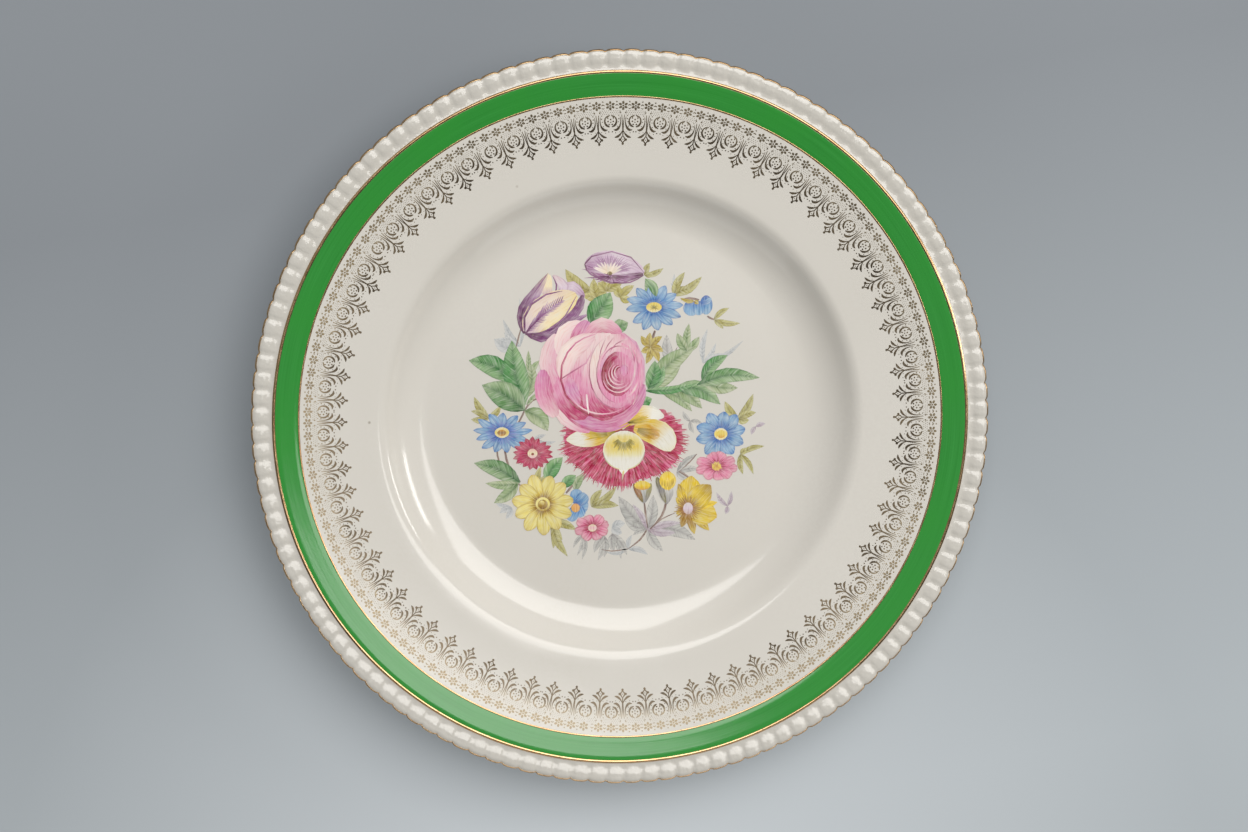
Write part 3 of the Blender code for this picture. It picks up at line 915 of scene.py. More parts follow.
green_leaves = Enamel(seed=8, base=3)
for root, tip, width, bend, tone, coat in (
    ((-33.8, 4.3), (-38.3, 27.2), 8.9, 0.05, bright_green, 7),
    ((-38.5, 12.9), (-53.4, 20.3), 7.5, -0.12, bright_green, 6),
    ((-33.8, 2.5), (-48.8, 11.5), 9.6, -0.06, green, 8), ((-33.8, 2.2), (-25.6, -5.0), 6.1, 0.14, sage, 7),
    ((-33.8, 6.5), (-31.7, 19.3), 4.3, -0.12, sage, 6), ((-33.1, 4.3), (-29.5, 8.6), 1.43, 0.0, sage, 6),
    ((-32.4, 15.8), (-32.4, 23.6), 1.79, 0.0, sage, 5), ((-31.3, 15.1), (-28.5, 20.1), 2.1, 0.1, sage, 5),
    ((-35.6, -23.5), (-51.8, -16.3), 6.4, -0.08, green, 6),
    ((-36.0, -23.9), (-47.8, -23.6), 3.2, 0.05, sage, 7),
    ((-36.3, -24.3), (-44.8, -30.7), 4.3, 0.05, sage, 6),
    ((-26.3, -23.2), (-20.4, -14.6), 5.4, 0.08, bright_green, 6),
    ((-20.6, -25.4), (-15.6, -21.1), 3.9, 0.05, bright_green, 6),
    ((-16.0, -26.8), (-12.8, -20.7), 3.2, 0.1, sage, 5),
    ((-10.6, 32.9), (-3.3, 44.0), 8.9, -0.02, bright_green, 8),
    ((-2.8, 32.2), (3.0, 33.3), 5.0, -0.1, green, 7),
    ((9.7, 33.7), (9.0, 48.3), 3.2, -0.1, green, 4),
    ((10.1, 9.0), (27.0, 24.7), 6.8, 0.08, sage, 7), ((10.8, 9.3), (22.2, 20.8), 5.4, -0.05, sage, 6),
    ((27.6, 10.8), (50.0, 13.3), 5.4, 0.1, green, 8), ((29.7, 11.5), (42.2, 9.7), 4.6, -0.06, sage, 7),
    ((29.4, 12.2), (38.5, 21.5), 4.6, 0.12, bright_green, 7),
    ((20.1, 10.1), (36.0, 3.9), 6.1, 0.14, green, 7),
    ((18.7, 10.1), (29.4, 2.5), 5.0, 0.08, sage, 6), ((14.4, 9.3), (25.8, 1.5), 4.3, 0.1, sage, 5),
    ((10.1, 9.7), (12.6, 19.7), 5.4, -0.08, bright_green, 8),
    ((11.2, 9.3), (15.8, 17.9), 3.2, -0.1, bright_green, 7),
    ((7.6, 3.3), (11.5, 6.1), 3.9, 0.1, bright_green, 6),
    ((9.0, 9.0), (27.6, 11.5), 2.9, -0.06, bright_green, 9),
):
    green_leaves.leaf(root, tip, width, tone, coat, bend)
green_leaves.sprig((24.1, 22.9), ((24.7, 32.8), (28.4, 28.1), (20.5, 29.4)), 3.0, sage, 6, 0.05)
green_leaves.finish("green_leaves", leaf_enamel)


# ---------------------------------------------------------------------------------------------------------
# The convolvulus. A lilac trumpet seen from below its edge, with pale rays from the throat and a dark lip.

lilac, pale_lilac = tint(184, 150, 178), tint(212, 194, 204)
plum, dark_plum = tint(150, 98, 138), tint(98, 50, 80)

convolvulus = Enamel(seed=10, base=5)
throat = (-3.8, 50.5)
convolvulus.shape(((-12.2, 53.3), (-2.8, 54.6), (8.5, 50.6)), 8.6, (plum, lilac, pale_lilac, lilac), 8,
                  outline=(0.35, 0.4), side=(pale_lilac, 0.5), grid=(8, 12))
convolvulus.shape(((-11.3, 53.0), (-2.8, 48.7), (8.3, 50.5)), 3.2, (plum, plum, lilac, dark_plum), 9,
                  outline=(0.4, 0.4), edge=(dark_plum, 0.6))
convolvulus.rays(throat, 1.79, (9.3, 6.8), 34, 0.46, (pale_lilac, plum, lilac), 10, 12, 172)
convolvulus.rays(throat, 0.71, (6.1, 4.6), 11, 0.93, (tint(226, 208, 180), tint(222, 208, 206)), 11, 25,
                 160)
convolvulus.rays((-3.1, 50.1), 0.71, (9.3, 2.5), 14, 0.43, (dark_plum, plum), 11, 190, 355)
for line in (
    ((-12.4, 54.0), (-9.9, 56.9), (-2.8, 58.5), (4.0, 56.5), (8.7, 50.8)),
    ((-12.4, 54.0), (-10.3, 50.5), (-2.4, 47.5)),
    ((-2.4, 47.5), (3.7, 47.6), (8.7, 50.1)), ((-3.5, 49.7), (-2.4, 48.7), (-2.0, 47.6)),
):
    convolvulus.stroke(line, 0.54, (dark_plum, plum, dark_plum), 12, vary=0.1)
convolvulus.disc((-3.5, 50.8), (0.93, 0.71), (tint(110, 84, 60), tint(150, 128, 70)), 13, grid=(4, 4))
convolvulus.finish("convolvulus", petal_enamel)


# ---------------------------------------------------------------------------------------------------------
# The tulip. A half-open purple bloom whose cream front petal is feathered with purple along its middle.

cream, straw = tint(232, 216, 180), tint(226, 206, 146)
purple, dark_purple = tint(132, 78, 124), tint(96, 42, 84)

tulip = Enamel(seed=12, base=5)
tulip.shape(((-21.0, 44.7), (-16.7, 46.4), (-12.4, 42.6)), 3.6, (lilac, pale_lilac, lilac), 8,
            outline=(0.5, 0.6), edge=(plum, 0.4))
tulip.shape(((-25.3, 42.6), (-26.0, 46.5), (-24.9, 50.5)), 4.3, (lilac, cream, cream), 8,
            outline=(0.5, 0.6))
tulip.shape(((-21.3, 42.6), (-19.9, 46.2), (-23.5, 50.3)), 3.6, (lilac, pale_lilac, tint(220, 200, 196)), 9,
            outline=(0.5, 0.6), edge=(plum, 0.4))
tulip.stroke(((-22.8, 43.7), (-22.4, 46.9), (-23.8, 50.1)), 0.57, (purple, plum), 10)
tulip.shape(((-33.5, 29.7), (-34.0, 37.6), (-29.5, 44.4), (-25.3, 51.0)), 4.6,
            (dark_purple, purple, lilac, cream), 10, outline=(0.4, 0.75), side=(dark_purple, 0.5),
            grid=(6, 12))
tulip.shape(((-28.5, 28.3), (-19.2, 34.0), (-14.5, 39.0), (-13.1, 43.3)), 3.9,
            (dark_purple, purple, dark_purple), 9, outline=(0.5, 0.6), side=(lilac, -0.3))
tulip.shape(((-33.8, 30.4), (-27.4, 28.3), (-20.3, 31.9), (-11.7, 36.2)), 3.8,
            (dark_purple, purple, dark_purple, lilac), 10, outline=(0.5, 0.6))
tulip.shape(((-33.5, 29.7), (-26.7, 37.2), (-15.3, 43.3)), 11.1, (lilac, cream, cream, straw), 12,
            outline=(0.55, 0.5), side=(tint(206, 180, 196), 0.6), edge=(straw, 0.7), grid=(10, 12))
tulip.stroke(((-33.1, 30.1), (-28.1, 35.8), (-19.9, 41.5)), 0.93, (dark_purple, purple, lilac), 15)
for step in range(17):
    share = 0.04 + 0.055 * step
    at_rib = smooth_line(((-33.1, 30.1), (-28.1, 35.8), (-19.5, 41.9)), np.array([share]))[0]
    for turn, length in ((12, 0.9), (66, 1.1)):
        reach = 4.6 * length * math.sin(math.pi * (0.2 + 0.7 * share)) * tulip.chance.uniform(0.7, 1.1)
        way = np.array((math.cos(math.radians(turn)), math.sin(math.radians(turn))))
        tulip.stroke((at_rib, at_rib + way * reach), 0.43, (purple, lilac), 14, vary=0.15)
for step in range(16):
    start = np.array((-32.4 + 0.5 * step, 29.4 - 0.1 * step))
    end = start + np.array((6.4 + 0.36 * step, 2.9 + 0.36 * step))
    tulip.stroke((start, end), 0.32, (dark_purple, lilac, purple), 11, bend=-0.1, vary=0.2)
for line in (
    ((-33.6, 30.1), (-33.8, 35.4), (-31.3, 40.1), (-26.0, 43.5), (-20.3, 44.7)),
    ((-33.5, 29.4), (-26.7, 30.1), (-20.6, 34.0), (-15.3, 43.0)),
    ((-35.3, 33.7), (-33.8, 39.7), (-29.9, 44.7), (-25.6, 50.8)),
    ((-34.2, 30.4), (-28.1, 27.6), (-20.3, 30.8), (-11.7, 35.8)),
):
    tulip.stroke(line, 0.82, (dark_purple, purple, plum), 16, vary=0.1)
tulip.finish("tulip", petal_enamel)


# ---------------------------------------------------------------------------------------------------------
# Blue daisies. Three open blooms in washes of blue, two closed buds, and one small flower behind a daisy.

sky, blue = tint(152, 180, 200), tint(104, 148, 188)
deep_blue, violet_blue = tint(62, 98, 164), tint(138, 142, 196)
pollen, amber, brown = tint(222, 198, 92), tint(206, 150, 62), tint(134, 98, 48)
halo = tint(226, 214, 178)

blue_daisies = Enamel(seed=14, base=5)
top_daisy = (12.2, 38.7)
left_daisy = (-41.9, -5.5)
right_daisy = (36.2, -6.8)
blue_daisies.ring(top_daisy, (10.2, 8.2), 12, 4.1, (deep_blue, blue, sky, sky), 8, turn=8,
                  outline=(0.65, 0.66), vein=(deep_blue, 0.4), edge=(deep_blue, 0.7))
blue_daisies.rays(top_daisy, 2.5, (5.4, 4.3), 26, 0.39, (deep_blue, blue), 11, -20, 160)
blue_daisies.disc(top_daisy, (2.8, 1.79), (halo, pollen, pollen), 12)
blue_daisies.rays(top_daisy, 0.0, (2.1, 1.29), 12, 0.36, (olive[2], pollen), 13)
blue_daisies.leaf((13.0, 42.6), (9.0, 48.9), 3.2, green, 12, -0.12)
blue_daisies.ring(left_daisy, (10.4, 7.3), 13, 3.6, (deep_blue, blue, sky, blue), 8, turn=4,
                  outline=(0.7, 0.7), vein=(deep_blue, 0.45), edge=(deep_blue, 0.7))
blue_daisies.rays(left_daisy, 2.1, (6.1, 4.3), 36, 0.39, (deep_blue, violet_blue), 11)
blue_daisies.disc(left_daisy, (2.6, 1.89), (halo, pollen, halo), 12)
blue_daisies.disc((-42.0, -5.6), (1.57, 1.14), (amber, brown, amber), 13)
blue_daisies.ring(right_daisy, (9.3, 8.6), 10, 5.0, (deep_blue, blue, sky, blue), 8, turn=14,
                  outline=(0.65, 0.62), vein=(deep_blue, 0.3), edge=(deep_blue, 0.6))
blue_daisies.rays(right_daisy, 2.5, (6.8, 6.4), 44, 0.39, (deep_blue, sky), 11)
blue_daisies.disc(right_daisy, (2.4, 2.1), (halo, pollen, halo), 12)
blue_daisies.disc((36.3, -6.8), (1.61, 1.43), (amber, pollen, pollen), 13)
for centre, radii in (((25.5, 38.3), (2.9, 2.7)), ((28.1, 38.3), (2.3, 2.5)), ((30.8, 39.4), (2.3, 3.4))):
    blue_daisies.disc(centre, radii, (sky, blue, deep_blue), 9, edge=(deep_blue, 0.4))
blue_daisies.shape(((32.6, 41.9), (28.7, 40.5)), 1.79, (sky, deep_blue), 11, outline=(0.5, 0.5), bend=0.2)
blue_daisies.sprig((26.5, 40.8), ((21.5, 41.9), (23.7, 40.1), (28.0, 39.7)), 1.43, gold_leaf, 11)
for tip, width in (
    ((-15.6, -26.1), 4.6), ((-12.0, -27.9), 4.6), ((-11.3, -32.5), 4.6), ((-13.5, -36.1), 3.9),
    ((-17.8, -37.5), 4.3),
):
    blue_daisies.shape(((-15.3, -31.8), tip), width, (deep_blue, blue, sky), 8, outline=(0.6, 0.4),
                       edge=(deep_blue, 0.35))
blue_daisies.disc((-15.8, -32.8), (1.64, 1.57), (amber, tint(222, 170, 110)), 12, edge=(brown, 0.5))
blue_daisies.finish("blue_daisies", petal_enamel)


# ---------------------------------------------------------------------------------------------------------
# Pink and red flowers. A spiky red daisy on the left and two small round-petalled pink flowers.

rosy, hot_pink, wine = tint(216, 132, 160), tint(200, 84, 122), tint(158, 44, 74)
pale_pink, cherry = tint(228, 182, 190), tint(184, 60, 90)

pink_flowers = Enamel(seed=16, base=11)
red_daisy = (-31.1, -13.1)
low_pink = (-9.8, -40.1)
right_pink = (34.9, -18.4)
pink_flowers.ring(red_daisy, (7.3, 5.9), 17, 2.8, (wine, cherry, wine), 9, turn=6, outline=(0.6, 0.8),
                  vein=(wine, 0.4))
pink_flowers.rays(red_daisy, 1.79, (6.4, 5.0), 46, 0.39, (wine, hot_pink), 11)
pink_flowers.disc(red_daisy, (1.79, 1.71), (pale_pink, halo, tint(226, 178, 168)), 12)
pink_flowers.disc((-31.0, -13.3), (0.54, 0.46), (wine, brown), 13, grid=(4, 4))
pink_flowers.ring(low_pink, (6.2, 4.8), 8, 4.3, (wine, rosy, pale_pink), 10, turn=18, outline=(0.55, 0.35),
                  edge=(wine, 0.6), vein=(wine, 0.35))
pink_flowers.rays(low_pink, 1.43, (3.9, 3.0), 24, 0.36, (wine, hot_pink), 12)
pink_flowers.disc(low_pink, (1.57, 1.29), (halo, pale_pink, halo), 13)
pink_flowers.ring(right_pink, (7.5, 5.2), 9, 4.8, (wine, rosy, rosy, pale_pink), 10, turn=-6,
                  outline=(0.6, 0.35), edge=(wine, 0.5))
pink_flowers.rays(right_pink, 1.79, (5.0, 3.6), 30, 0.36, (wine, rosy), 12)
pink_flowers.disc((34.7, -18.5), (1.64, 1.43), (amber, pollen, pollen), 13)
pink_flowers.rays((34.7, -18.4), 0.0, (2.0, 1.79), 9, 0.71, (amber, pollen), 14)
pink_flowers.finish("pink_and_red_flowers", petal_enamel)


# ---------------------------------------------------------------------------------------------------------
# Yellow flowers. A wide pale daisy with a ringed eye, a golden one shaded brown below, and two closed buds.

primrose, lemon, ochre = tint(226, 212, 132), tint(220, 194, 80), tint(170, 138, 60)
gold_yellow, russet = tint(230, 200, 66), tint(150, 104, 66)

yellow_flowers = Enamel(seed=18, base=18)
pale_daisy = (-27.5, -31.3)
golden_daisy = (24.5, -33.5)
yellow_flowers.ring(pale_daisy, (10.9, 10.9), 11, 5.2, (ochre, primrose, primrose, primrose), 9, turn=10,
                    outline=(0.75, 0.56), vein=(ochre, 0.35), edge=(ochre, 0.65), grid=(8, 9))
yellow_flowers.rays(pale_daisy, 2.5, (5.4, 5.4), 44, 0.43, (brown, lemon), 12)
yellow_flowers.disc(pale_daisy, (2.6, 2.5), (ochre, primrose, primrose), 13)
yellow_flowers.disc((-27.5, -31.4), (1.79, 1.71), (brown, ochre, ochre), 14)
yellow_flowers.disc((-27.8, -30.9), (1.00, 0.86), (ochre, primrose), 15, grid=(4, 4))
for tip, width, shades in (
    ((25.7, -21.8), 9.5, (ochre, gold_yellow, gold_yellow)),
    ((21.0, -24.6), 3.2, (ochre, gold_yellow, ochre)),
    ((20.2, -29.6), 3.2, (ochre, lemon)), ((20.3, -35.4), 3.2, (ochre, ochre, lemon)),
    ((22.2, -40.2), 3.2, (russet, ochre)),
    ((26.8, -42.7), 3.2, (russet, russet, ochre, lemon)), ((32.1, -41.5), 3.6, (ochre, ochre, lemon)),
    ((34.9, -36.6), 9.5, (ochre, lemon, gold_yellow)),
    ((35.0, -31.4), 3.2, (ochre, gold_yellow, gold_yellow)),
    ((32.6, -25.2), 8.5, (ochre, gold_yellow, ochre)),
):
    yellow_flowers.shape((golden_daisy, tip), width, shades, 10, outline=(0.75, 0.8), vein=(ochre, 0.5),
                         edge=(ochre, 0.35))
yellow_flowers.rays(golden_daisy, 1.79, (5.0, 5.0), 34, 0.43, (russet, ochre), 13)
yellow_flowers.disc(golden_daisy, (1.79, 2.1), (tint(190, 160, 150), pale_lilac, tint(212, 200, 196)), 14)
yellow_flowers.shape(((8.8, -31.4), (8.0, -23.9)), 6.1, (ash[2], ash[1], ash[0]), 9, outline=(0.7, 0.3))
yellow_flowers.shape(((8.3, -31.1), (5.1, -24.3)), 2.1, (olive[2], russet, brown), 10, outline=(0.7, 0.5))
yellow_flowers.shape(((9.4, -30.7), (11.2, -24.3)), 1.79, (ash[2], olive[1]), 10, outline=(0.7, 0.5))
yellow_flowers.disc((8.1, -25.0), (2.9, 1.64), (amber, gold_yellow, lemon), 12)
yellow_flowers.shape(((16.9, -31.8), (16.2, -21.8)), 6.8, (ash[2], ash[0], ash[1]), 9, outline=(0.7, 0.3))
yellow_flowers.shape(((16.5, -31.4), (13.3, -22.1)), 2.5, (olive[2], ash[2], olive[2]), 10,
                     outline=(0.7, 0.5))
yellow_flowers.disc((17.2, -23.4), (3.0, 3.3), (gold_yellow, gold_yellow, lemon), 12, edge=(ochre, 0.3))
yellow_flowers.rays((17.2, -20.0), 3.2, (3.2, 6.8), 14, 0.36, (gold_yellow, ochre), 13, 225, 315)
yellow_flowers.finish("yellow_flowers", petal_enamel)


# ---------------------------------------------------------------------------------------------------------
# The carnation. A fan of crimson petals behind the orchid, cut into fringes by hundreds of thin strokes.

crimson, dark_crimson = tint(178, 50, 80), tint(136, 28, 50)

carnation = Enamel(seed=20, base=13)
carnation_middle = np.array((1.2, -5.0))
fringe_angles = (158, 173, 201, 225, 244, 272, 290, 308, 325, 341, 360, 381)
fringe_reach = (18.6, 21.4, 24.3, 21.8, 22.5, 21.8, 20.4, 22.1, 23.9, 24.3, 22.9, 17.9)
for step in range(23):
    angle = 160 + 220 * step / 22
    reach = float(np.interp(angle, fringe_angles, fringe_reach)) * 0.92
    way = np.array((math.cos(math.radians(angle)), math.sin(math.radians(angle))))
    carnation.shape((carnation_middle, carnation_middle + way * reach), 5.4,
                    (dark_crimson, crimson, crimson, hot_pink), 7 + step % 3, outline=(0.9, 0.3),
                    side=(dark_crimson, 0.4))
fringe_shades = (
    (dark_crimson, crimson), (crimson, wine), (crimson, hot_pink), (hot_pink, crimson), (hot_pink, rosy),
    (wine, crimson),
)
for step in range(420):
    angle = 158 + 225 * (step + carnation.chance.random()) / 420
    full = float(np.interp(angle, fringe_angles, fringe_reach))
    way = np.array((math.cos(math.radians(angle)), math.sin(math.radians(angle))))
    start = full * carnation.chance.uniform(0.4, 0.8)
    if step % 2:
        reach = full * carnation.chance.uniform(0.9, 1.03)
    else:
        reach = start + full * carnation.chance.uniform(0.1, 0.25)
    shades = carnation.chance.choice(fringe_shades)
    line = (carnation_middle + way * start, carnation_middle + way * reach)
    carnation.stroke(line, 0.54, shades, 11 + step % 3, bend=carnation.chance.uniform(-0.12, 0.12),
                     vary=0.1)
carnation.finish("carnation", petal_enamel)


# ---------------------------------------------------------------------------------------------------------
# The orchid. Cream petals flushed yellow at their roots, round a smooth lip with a rayed yellow throat.

petal_white, butter = tint(228, 224, 212), tint(224, 210, 140)
mustard, olive_shade = tint(218, 182, 56), tint(142, 126, 52)

orchid = Enamel(seed=22, base=12)
lip = (1.5, -12.3)
orchid.shape(((0.8, -2.5), (9.0, 0.9), (15.8, -0.3)), 6.1, (mustard, mustard, petal_white, petal_white), 15,
             outline=(0.5, 0.6), edge=(ash[1], 0.35))
orchid.shape(((-9.2, -6.4), (-1.7, -2.8), (7.2, -0.3)), 5.0, (olive_shade, mustard, mustard), 16,
             outline=(0.5, 0.5))
orchid.rays((2.2, -2.8), 0.71, (9.3, 5.0), 24, 0.46, (olive_shade, mustard), 17, 5, 40)
orchid.shape(((-1.7, -5.3), (-10.6, -7.5), (-19.0, -8.3)), 7.0,
             (olive_shade, mustard, petal_white, petal_white), 17, outline=(0.5, 0.62), edge=(butter, 0.3),
             grid=(8, 10))
orchid.rays((-1.7, -5.7), 2.9, (11.4, 6.4), 26, 0.43, (olive_shade, mustard), 18, 172, 205)
orchid.shape(((5.1, -4.3), (14.0, -6.4), (18.9, -12.3)), 9.3, (mustard, mustard, petal_white, petal_white),
             17, outline=(0.5, 0.5), edge=(butter, 0.4), grid=(8, 10))
orchid.shape(((5.1, -4.6), (10.1, -5.3), (14.0, -7.8)), 5.4,
             (mustard, tint(204, 160, 62), tint(206, 160, 110)), 18, outline=(0.5, 0.5), edge=(butter, 0.5))
orchid.rays((4.4, -4.3), 2.1, (10.0, 8.6), 22, 0.43, (olive_shade, tint(198, 150, 60)), 19, 322, 356)
orchid.shape(((1.5, -16.4), (1.2, -21.4)), 5.0, (petal_white, petal_white), 20, outline=(0.4, 1.2))
orchid.disc(lip, (7.5, 7.0),
            (petal_white, petal_white, petal_white, butter, lemon, lemon, butter, petal_white), 21,
            edge=(petal_white, 0.8), grid=(10, 16))
orchid.crescent(lip, (7.4, 6.9), 185, 262, 0.43, (ash[1], butter), 22)
orchid.crescent(lip, (7.4, 6.9), 278, 355, 0.43, (butter, ash[1]), 22)
orchid.disc((1.6, -7.3), (2.4, 1.3), (lemon, butter, petal_white), 23)
orchid.rays((1.5, -7.1), 2.3, (5.4, 6.1), 26, 0.36, (olive[1], olive_shade, olive_shade, butter), 23, 208,
            332)
orchid.stroke(((1.4, -19.6), (0.8, -23.2)), 0.71, (butter, bark[1]), 22)
orchid.finish("orchid", petal_enamel)


# ---------------------------------------------------------------------------------------------------------
# The rose. The largest bloom: loose outer petals round a full globe, whose inner petals wind into a
# dark heart.

blush, shell = tint(226, 196, 196), tint(234, 216, 206)
rose_pink, lilac_pink = tint(214, 140, 170), tint(206, 138, 176)
deep_rose, heart_red = tint(182, 66, 108), tint(148, 36, 64)
fold_line = tint(170, 88, 118)

rose = Enamel(seed=24, base=12)
globe = (-6.0, 14.7)
rose.shape(((-21.3, 7.9), (-25.3, 19.3), (-22.4, 29.4)), 6.8, (rose_pink, blush, blush), 24,
           outline=(0.4, 0.4), side=(rose_pink, -0.8), edge=(blush, 0.5))
rose.shape(((-27.4, 16.8), (-26.7, 7.9), (-22.8, 0.0)), 6.8, (lilac_pink, rose_pink, blush), 25,
           outline=(0.45, 0.4), side=(deep_rose, 0.45))
rose.shape(((-21.3, 16.5), (-21.3, 9.0), (-19.9, 2.5)), 1.79, (rose_pink, deep_rose, deep_rose), 26,
           outline=(0.6, 0.6))
rose.shape(((-21.3, 21.9), (-19.2, 29.7), (-12.4, 32.9)), 6.4, (blush, shell, blush), 24,
           outline=(0.4, 0.4), side=(rose_pink, -0.6))
rose.shape(((-16.3, 25.1), (-11.3, 34.0)), 6.1, (deep_rose, rose_pink, lilac_pink), 25, outline=(0.35, 0.4))
rose.shape(((-12.0, 28.6), (-6.3, 32.6), (0.5, 29.4)), 5.4, (rose_pink, blush, rose_pink), 26,
           outline=(0.4, 0.4), side=(deep_rose, -0.6))
rose.shape(((-3.5, 29.4), (3.0, 23.6), (5.1, 14.0), (2.6, 2.9)), 8.6,
           (rose_pink, lilac_pink, lilac_pink, rose_pink), 24, outline=(0.4, 0.4), side=(blush, 0.3))
rose.shape(((-22.8, 5.8), (-19.2, -0.7), (-10.6, -5.3)), 5.0, (blush, blush, rose_pink), 24,
           outline=(0.4, 0.4))
rose.crescent((-6.7, 14.7), (15.4, 16.1), 200, 348, 7.5, (rose_pink, lilac_pink, rose_pink, lilac_pink), 26,
              side=(deep_rose, 0.65))
rose.crescent((-6.0, 14.0), (18.6, 19.3), 222, 300, 1.07, (deep_rose, lilac_pink), 27)
rose.disc((-6.3, 14.7), (14.8, 15.0), (deep_rose, rose_pink, rose_pink, blush, blush), 28, grid=(12, 14))
rose.shape(((-11.7, -0.3), (-18.1, 5.8), (-20.6, 14.7)), 9.6, (deep_rose, deep_rose, rose_pink, rose_pink),
           29, outline=(0.45, 0.45))
rose.shape(((-14.2, 4.3), (-17.0, 9.3), (-17.8, 14.0)), 4.6, (rose_pink, lilac_pink, rose_pink), 30,
           outline=(0.7, 0.6))
rose.shape(((-2.4, -0.3), (-8.5, 5.8), (-10.3, 20.8)), 9.6, (deep_rose, deep_rose, rose_pink, blush), 30,
           outline=(0.45, 0.5))
rose.shape(((-20.6, 13.6), (-17.8, 22.9), (-9.2, 29.0)), 7.5, (blush, shell, blush), 31, outline=(0.5, 0.5),
           side=(rose_pink, -0.25), edge=(fold_line, 0.2))
rose.stroke(((-20.6, 13.6), (-16.7, 16.1), (-12.0, 19.0), (-9.9, 22.9), (-8.5, 27.6)), 0.57,
            (fold_line, rose_pink, blush), 33)
rose.crescent(globe, (15.0, 15.0), 98, 318, 0.75, (rose_pink, deep_rose, heart_red, deep_rose), 32)
rose.crescent(globe, (13.9, 13.9), 200, 300, 0.54, (lilac_pink, blush, rose_pink), 33)
rose.stroke(((-11.8, 8.0), (-11.5, 4.3), (-11.1, 0.8)), 0.71, (blush, tint(240, 222, 224), shell), 33)
for number, (middle, radii, shades, start, end) in enumerate((
    ((-1.3, 16.1), (9.6, 13.2), (rose_pink, blush, shell, blush), 112, 300),
    ((-0.3, 15.4), (7.9, 10.7), (rose_pink, rose_pink, blush), 130, 262),
    ((-0.3, 16.1), (6.8, 8.9), (rose_pink, lilac_pink, blush), 60, 160),
)):
    rose.disc(middle, radii, shades, 34 + number, side=(rose_pink, -0.85), grid=(10, 12))
    rose.crescent(middle, radii, start, end, 0.46, (blush, fold_line, rose_pink), 34.5 + number)
for line in (
    ((-4.9, 27.9), (-6.7, 23.6), (-7.4, 19.3)), ((-1.7, 28.6), (-4.2, 25.4), (-5.6, 22.6)),
    ((2.6, 27.6), (-1.3, 25.8), (-3.5, 22.9)),
    ((5.1, 23.6), (6.5, 18.6), (6.2, 12.9)), ((3.3, 25.4), (5.1, 20.8), (5.1, 15.8)),
    ((4.7, 4.0), (6.5, 7.9), (7.2, 12.9)),
):
    rose.stroke(line, 0.39, (blush, fold_line, rose_pink), 38)
rose.disc((-0.6, 15.1), (5.7, 7.9), (deep_rose, rose_pink, rose_pink), 38, grid=(8, 10),
          side=(heart_red, 0.9))
rose.crescent((-0.6, 14.7), (4.6, 6.6), 92, 262, 2.9, (deep_rose, heart_red, heart_red, deep_rose), 39)
for step, reach in enumerate((5.7, 4.6, 3.6, 2.7, 1.9)):
    centre = (-0.6 + 0.18 * step, 15.1 + 0.14 * step)
    start = 200 - 26 * step
    fold, inner_fold = (reach, reach * 1.15), (reach - 0.43, reach * 1.15 - 0.43)
    rose.crescent(centre, fold, start, start + 150, 0.61, (rose_pink, blush, rose_pink), 40 + 0.5 * step)
    rose.crescent(centre, inner_fold, start - 30, start + 110, 0.54, (deep_rose, heart_red, rose_pink),
                  43 + step % 2)
rose.crescent((-0.6, 15.8), (7.5, 10.0), 292, 350, 0.79, (rose_pink, blush, rose_pink), 39)
rose.crescent((-0.3, 16.5), (5.7, 7.5), 300, 400, 0.57, (rose_pink, blush, rose_pink), 40)
rose.disc((1.5, 16.3), (1.61, 2.1), (rose_pink, lilac_pink), 45, grid=(6, 6), edge=(deep_rose, 0.6))
rose.finish("rose", petal_enamel)


# ---------------------------------------------------------------------------------------------------------
# The stage: a blue-grey paper floor, which glows a little so that the shadow on it stays soft; its colour is
# painted darker behind the plate and to the left, lighter in front and to the right, with a painted pool of
# light just in front of the plate. One large soft light above, a small window at the side, a low card in
# front, and a dim grey room all round.

floor_mesh = bpy.data.meshes.new("studio_floor")
half = 3.0
corners = [(-half, -half, 0), (half, -half, 0), (half, half, 0), (-half, half, 0)]
floor_mesh.from_pydata(corners, [], [(0, 1, 2, 3)])
studio_floor = new_piece("studio_floor", floor_mesh)
floor_material, add, shader = new_material("backdrop_paper", {"Roughness": 0.85, "Emission Strength": 0.45})
place = add("ShaderNodeTexCoord").outputs["Object"]
# Painted light: the floor's colour runs from darker behind the plate and to the left to lighter in front and
# to the right.
painted_falloff = add("ShaderNodeVectorMath", place, (0.2, -1.1, 0.0), operation="DOT_PRODUCT").outputs["Value"]
tone = mixed(add, ranged(add, painted_falloff, -0.11, 0.17), (0.165, 0.178, 0.191), (0.31, 0.337, 0.35))
tone = mixed(add, ranged(add, noise(add, place, 3.0, 2.0), 0.3, 0.7, 0.0, 0.2), tone, (0.26, 0.28, 0.30))
# Painted light: a pale pool on the floor just in front of the plate, where its shadow lies.
off_painted_pool = add("ShaderNodeVectorMath", place, (0.0, -0.19, 0.0), operation="DISTANCE").outputs["Value"]
tone = mixed(add, ranged(add, off_painted_pool, 0.22, 0.03, 0.0, 0.6), tone, (0.48, 0.505, 0.52))
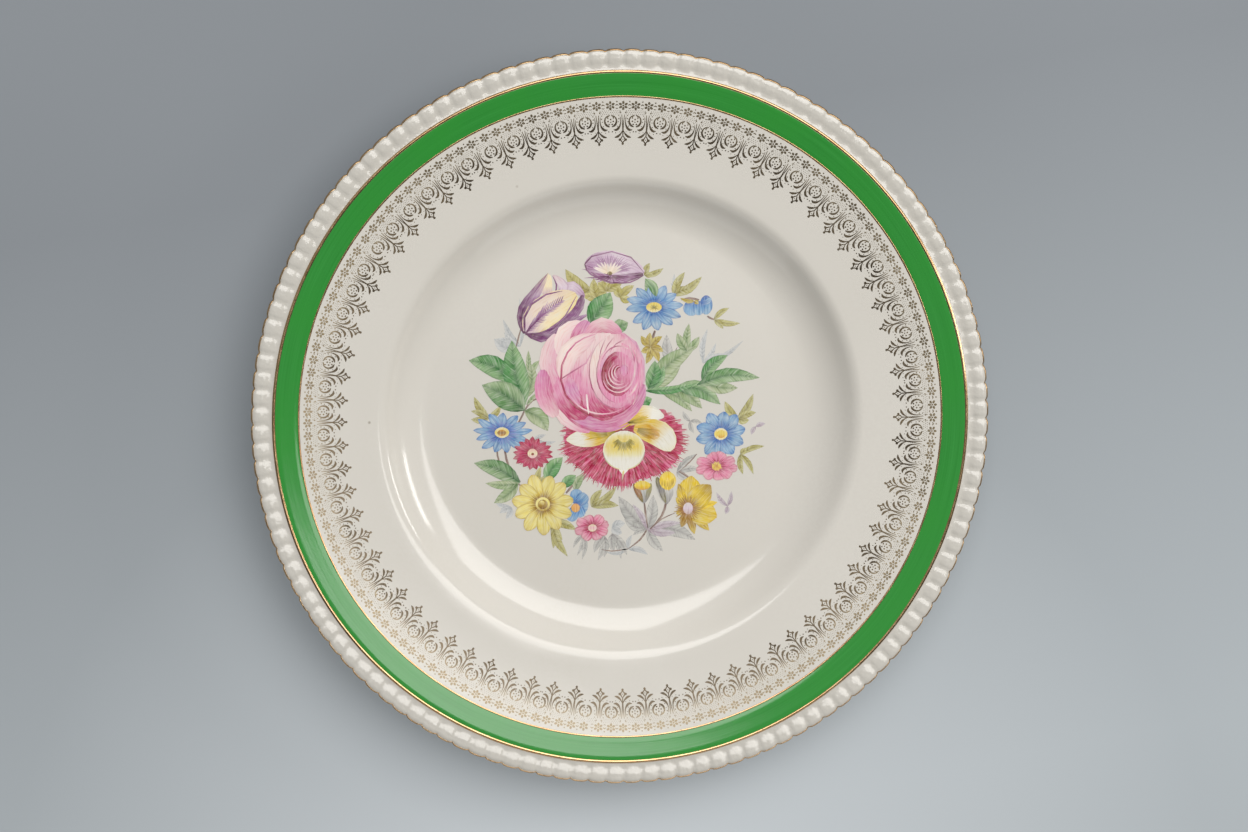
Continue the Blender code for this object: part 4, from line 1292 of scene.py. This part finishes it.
for socket in ("Base Color", "Emission Color"):
    floor_material.node_tree.links.new(tone, shader.inputs[socket])
floor_mesh.materials.append(floor_material)


def soft_light(name, place, size, power):
    """A rectangular light, faintly warm, that faces the plate."""
    data = bpy.data.lights.new(name, "AREA")
    data.shape = "RECTANGLE"
    data.size, data.size_y = size
    data.energy = power
    data.color = (1.0, 0.985, 0.965)
    light = bpy.data.objects.new(name, data)
    light.location = place
    light.rotation_euler = (-Vector(place)).to_track_quat("-Z", "Y").to_euler()
    bpy.context.scene.collection.objects.link(light)


soft_light("main_softbox", (0.27, 0.49, 1.05), (1.15, 1.00), 13.2)
soft_light("side_window", (0.98, 0.17, 0.40), (0.34, 0.14), 1.3)
soft_light("front_card", (0.0, -1.0, 0.30), (1.6, 0.5), 1.5)

world = bpy.data.worlds.new("dim_room")
bpy.context.scene.world = world
world.use_nodes = True
add = adder(world.node_tree)
background = world.node_tree.nodes["Background"]
direction = add("ShaderNodeSeparateXYZ", add("ShaderNodeTexCoord").outputs["Generated"]).outputs
height = ranged(add, direction["Y"], -0.4, 0.65)
room = mixed(add, height, (0.10, 0.11, 0.12), (0.45, 0.46, 0.48))
world.node_tree.links.new(room, background.inputs["Color"])

rim_plane = rim_height(shoulder_radius)
view_tilt = math.radians(8.3)
view_side = math.radians(125)
view_distance = 1.032
target = Vector((0.2 * mm, 1.9 * mm, rim_plane))
sideways = math.sin(view_tilt)
toward = Vector((sideways * math.cos(view_side), sideways * math.sin(view_side), math.cos(view_tilt)))
across = Vector((0, 1, 0)).cross(toward).normalized()
upward = toward.cross(across)
camera_data = bpy.data.cameras.new("camera")
camera_data.lens = 85
camera_data.sensor_width = 36
camera_data.clip_start = 0.01
camera = bpy.data.objects.new("camera", camera_data)
turned_to = Matrix((across, upward, toward)).transposed().to_4x4()
camera.matrix_world = Matrix.Translation(target + toward * view_distance) @ turned_to
bpy.context.scene.collection.objects.link(camera)
bpy.context.scene.camera = camera
bpy.context.scene.view_settings.view_transform = "Standard"
bpy.context.scene.view_settings.look = "None"
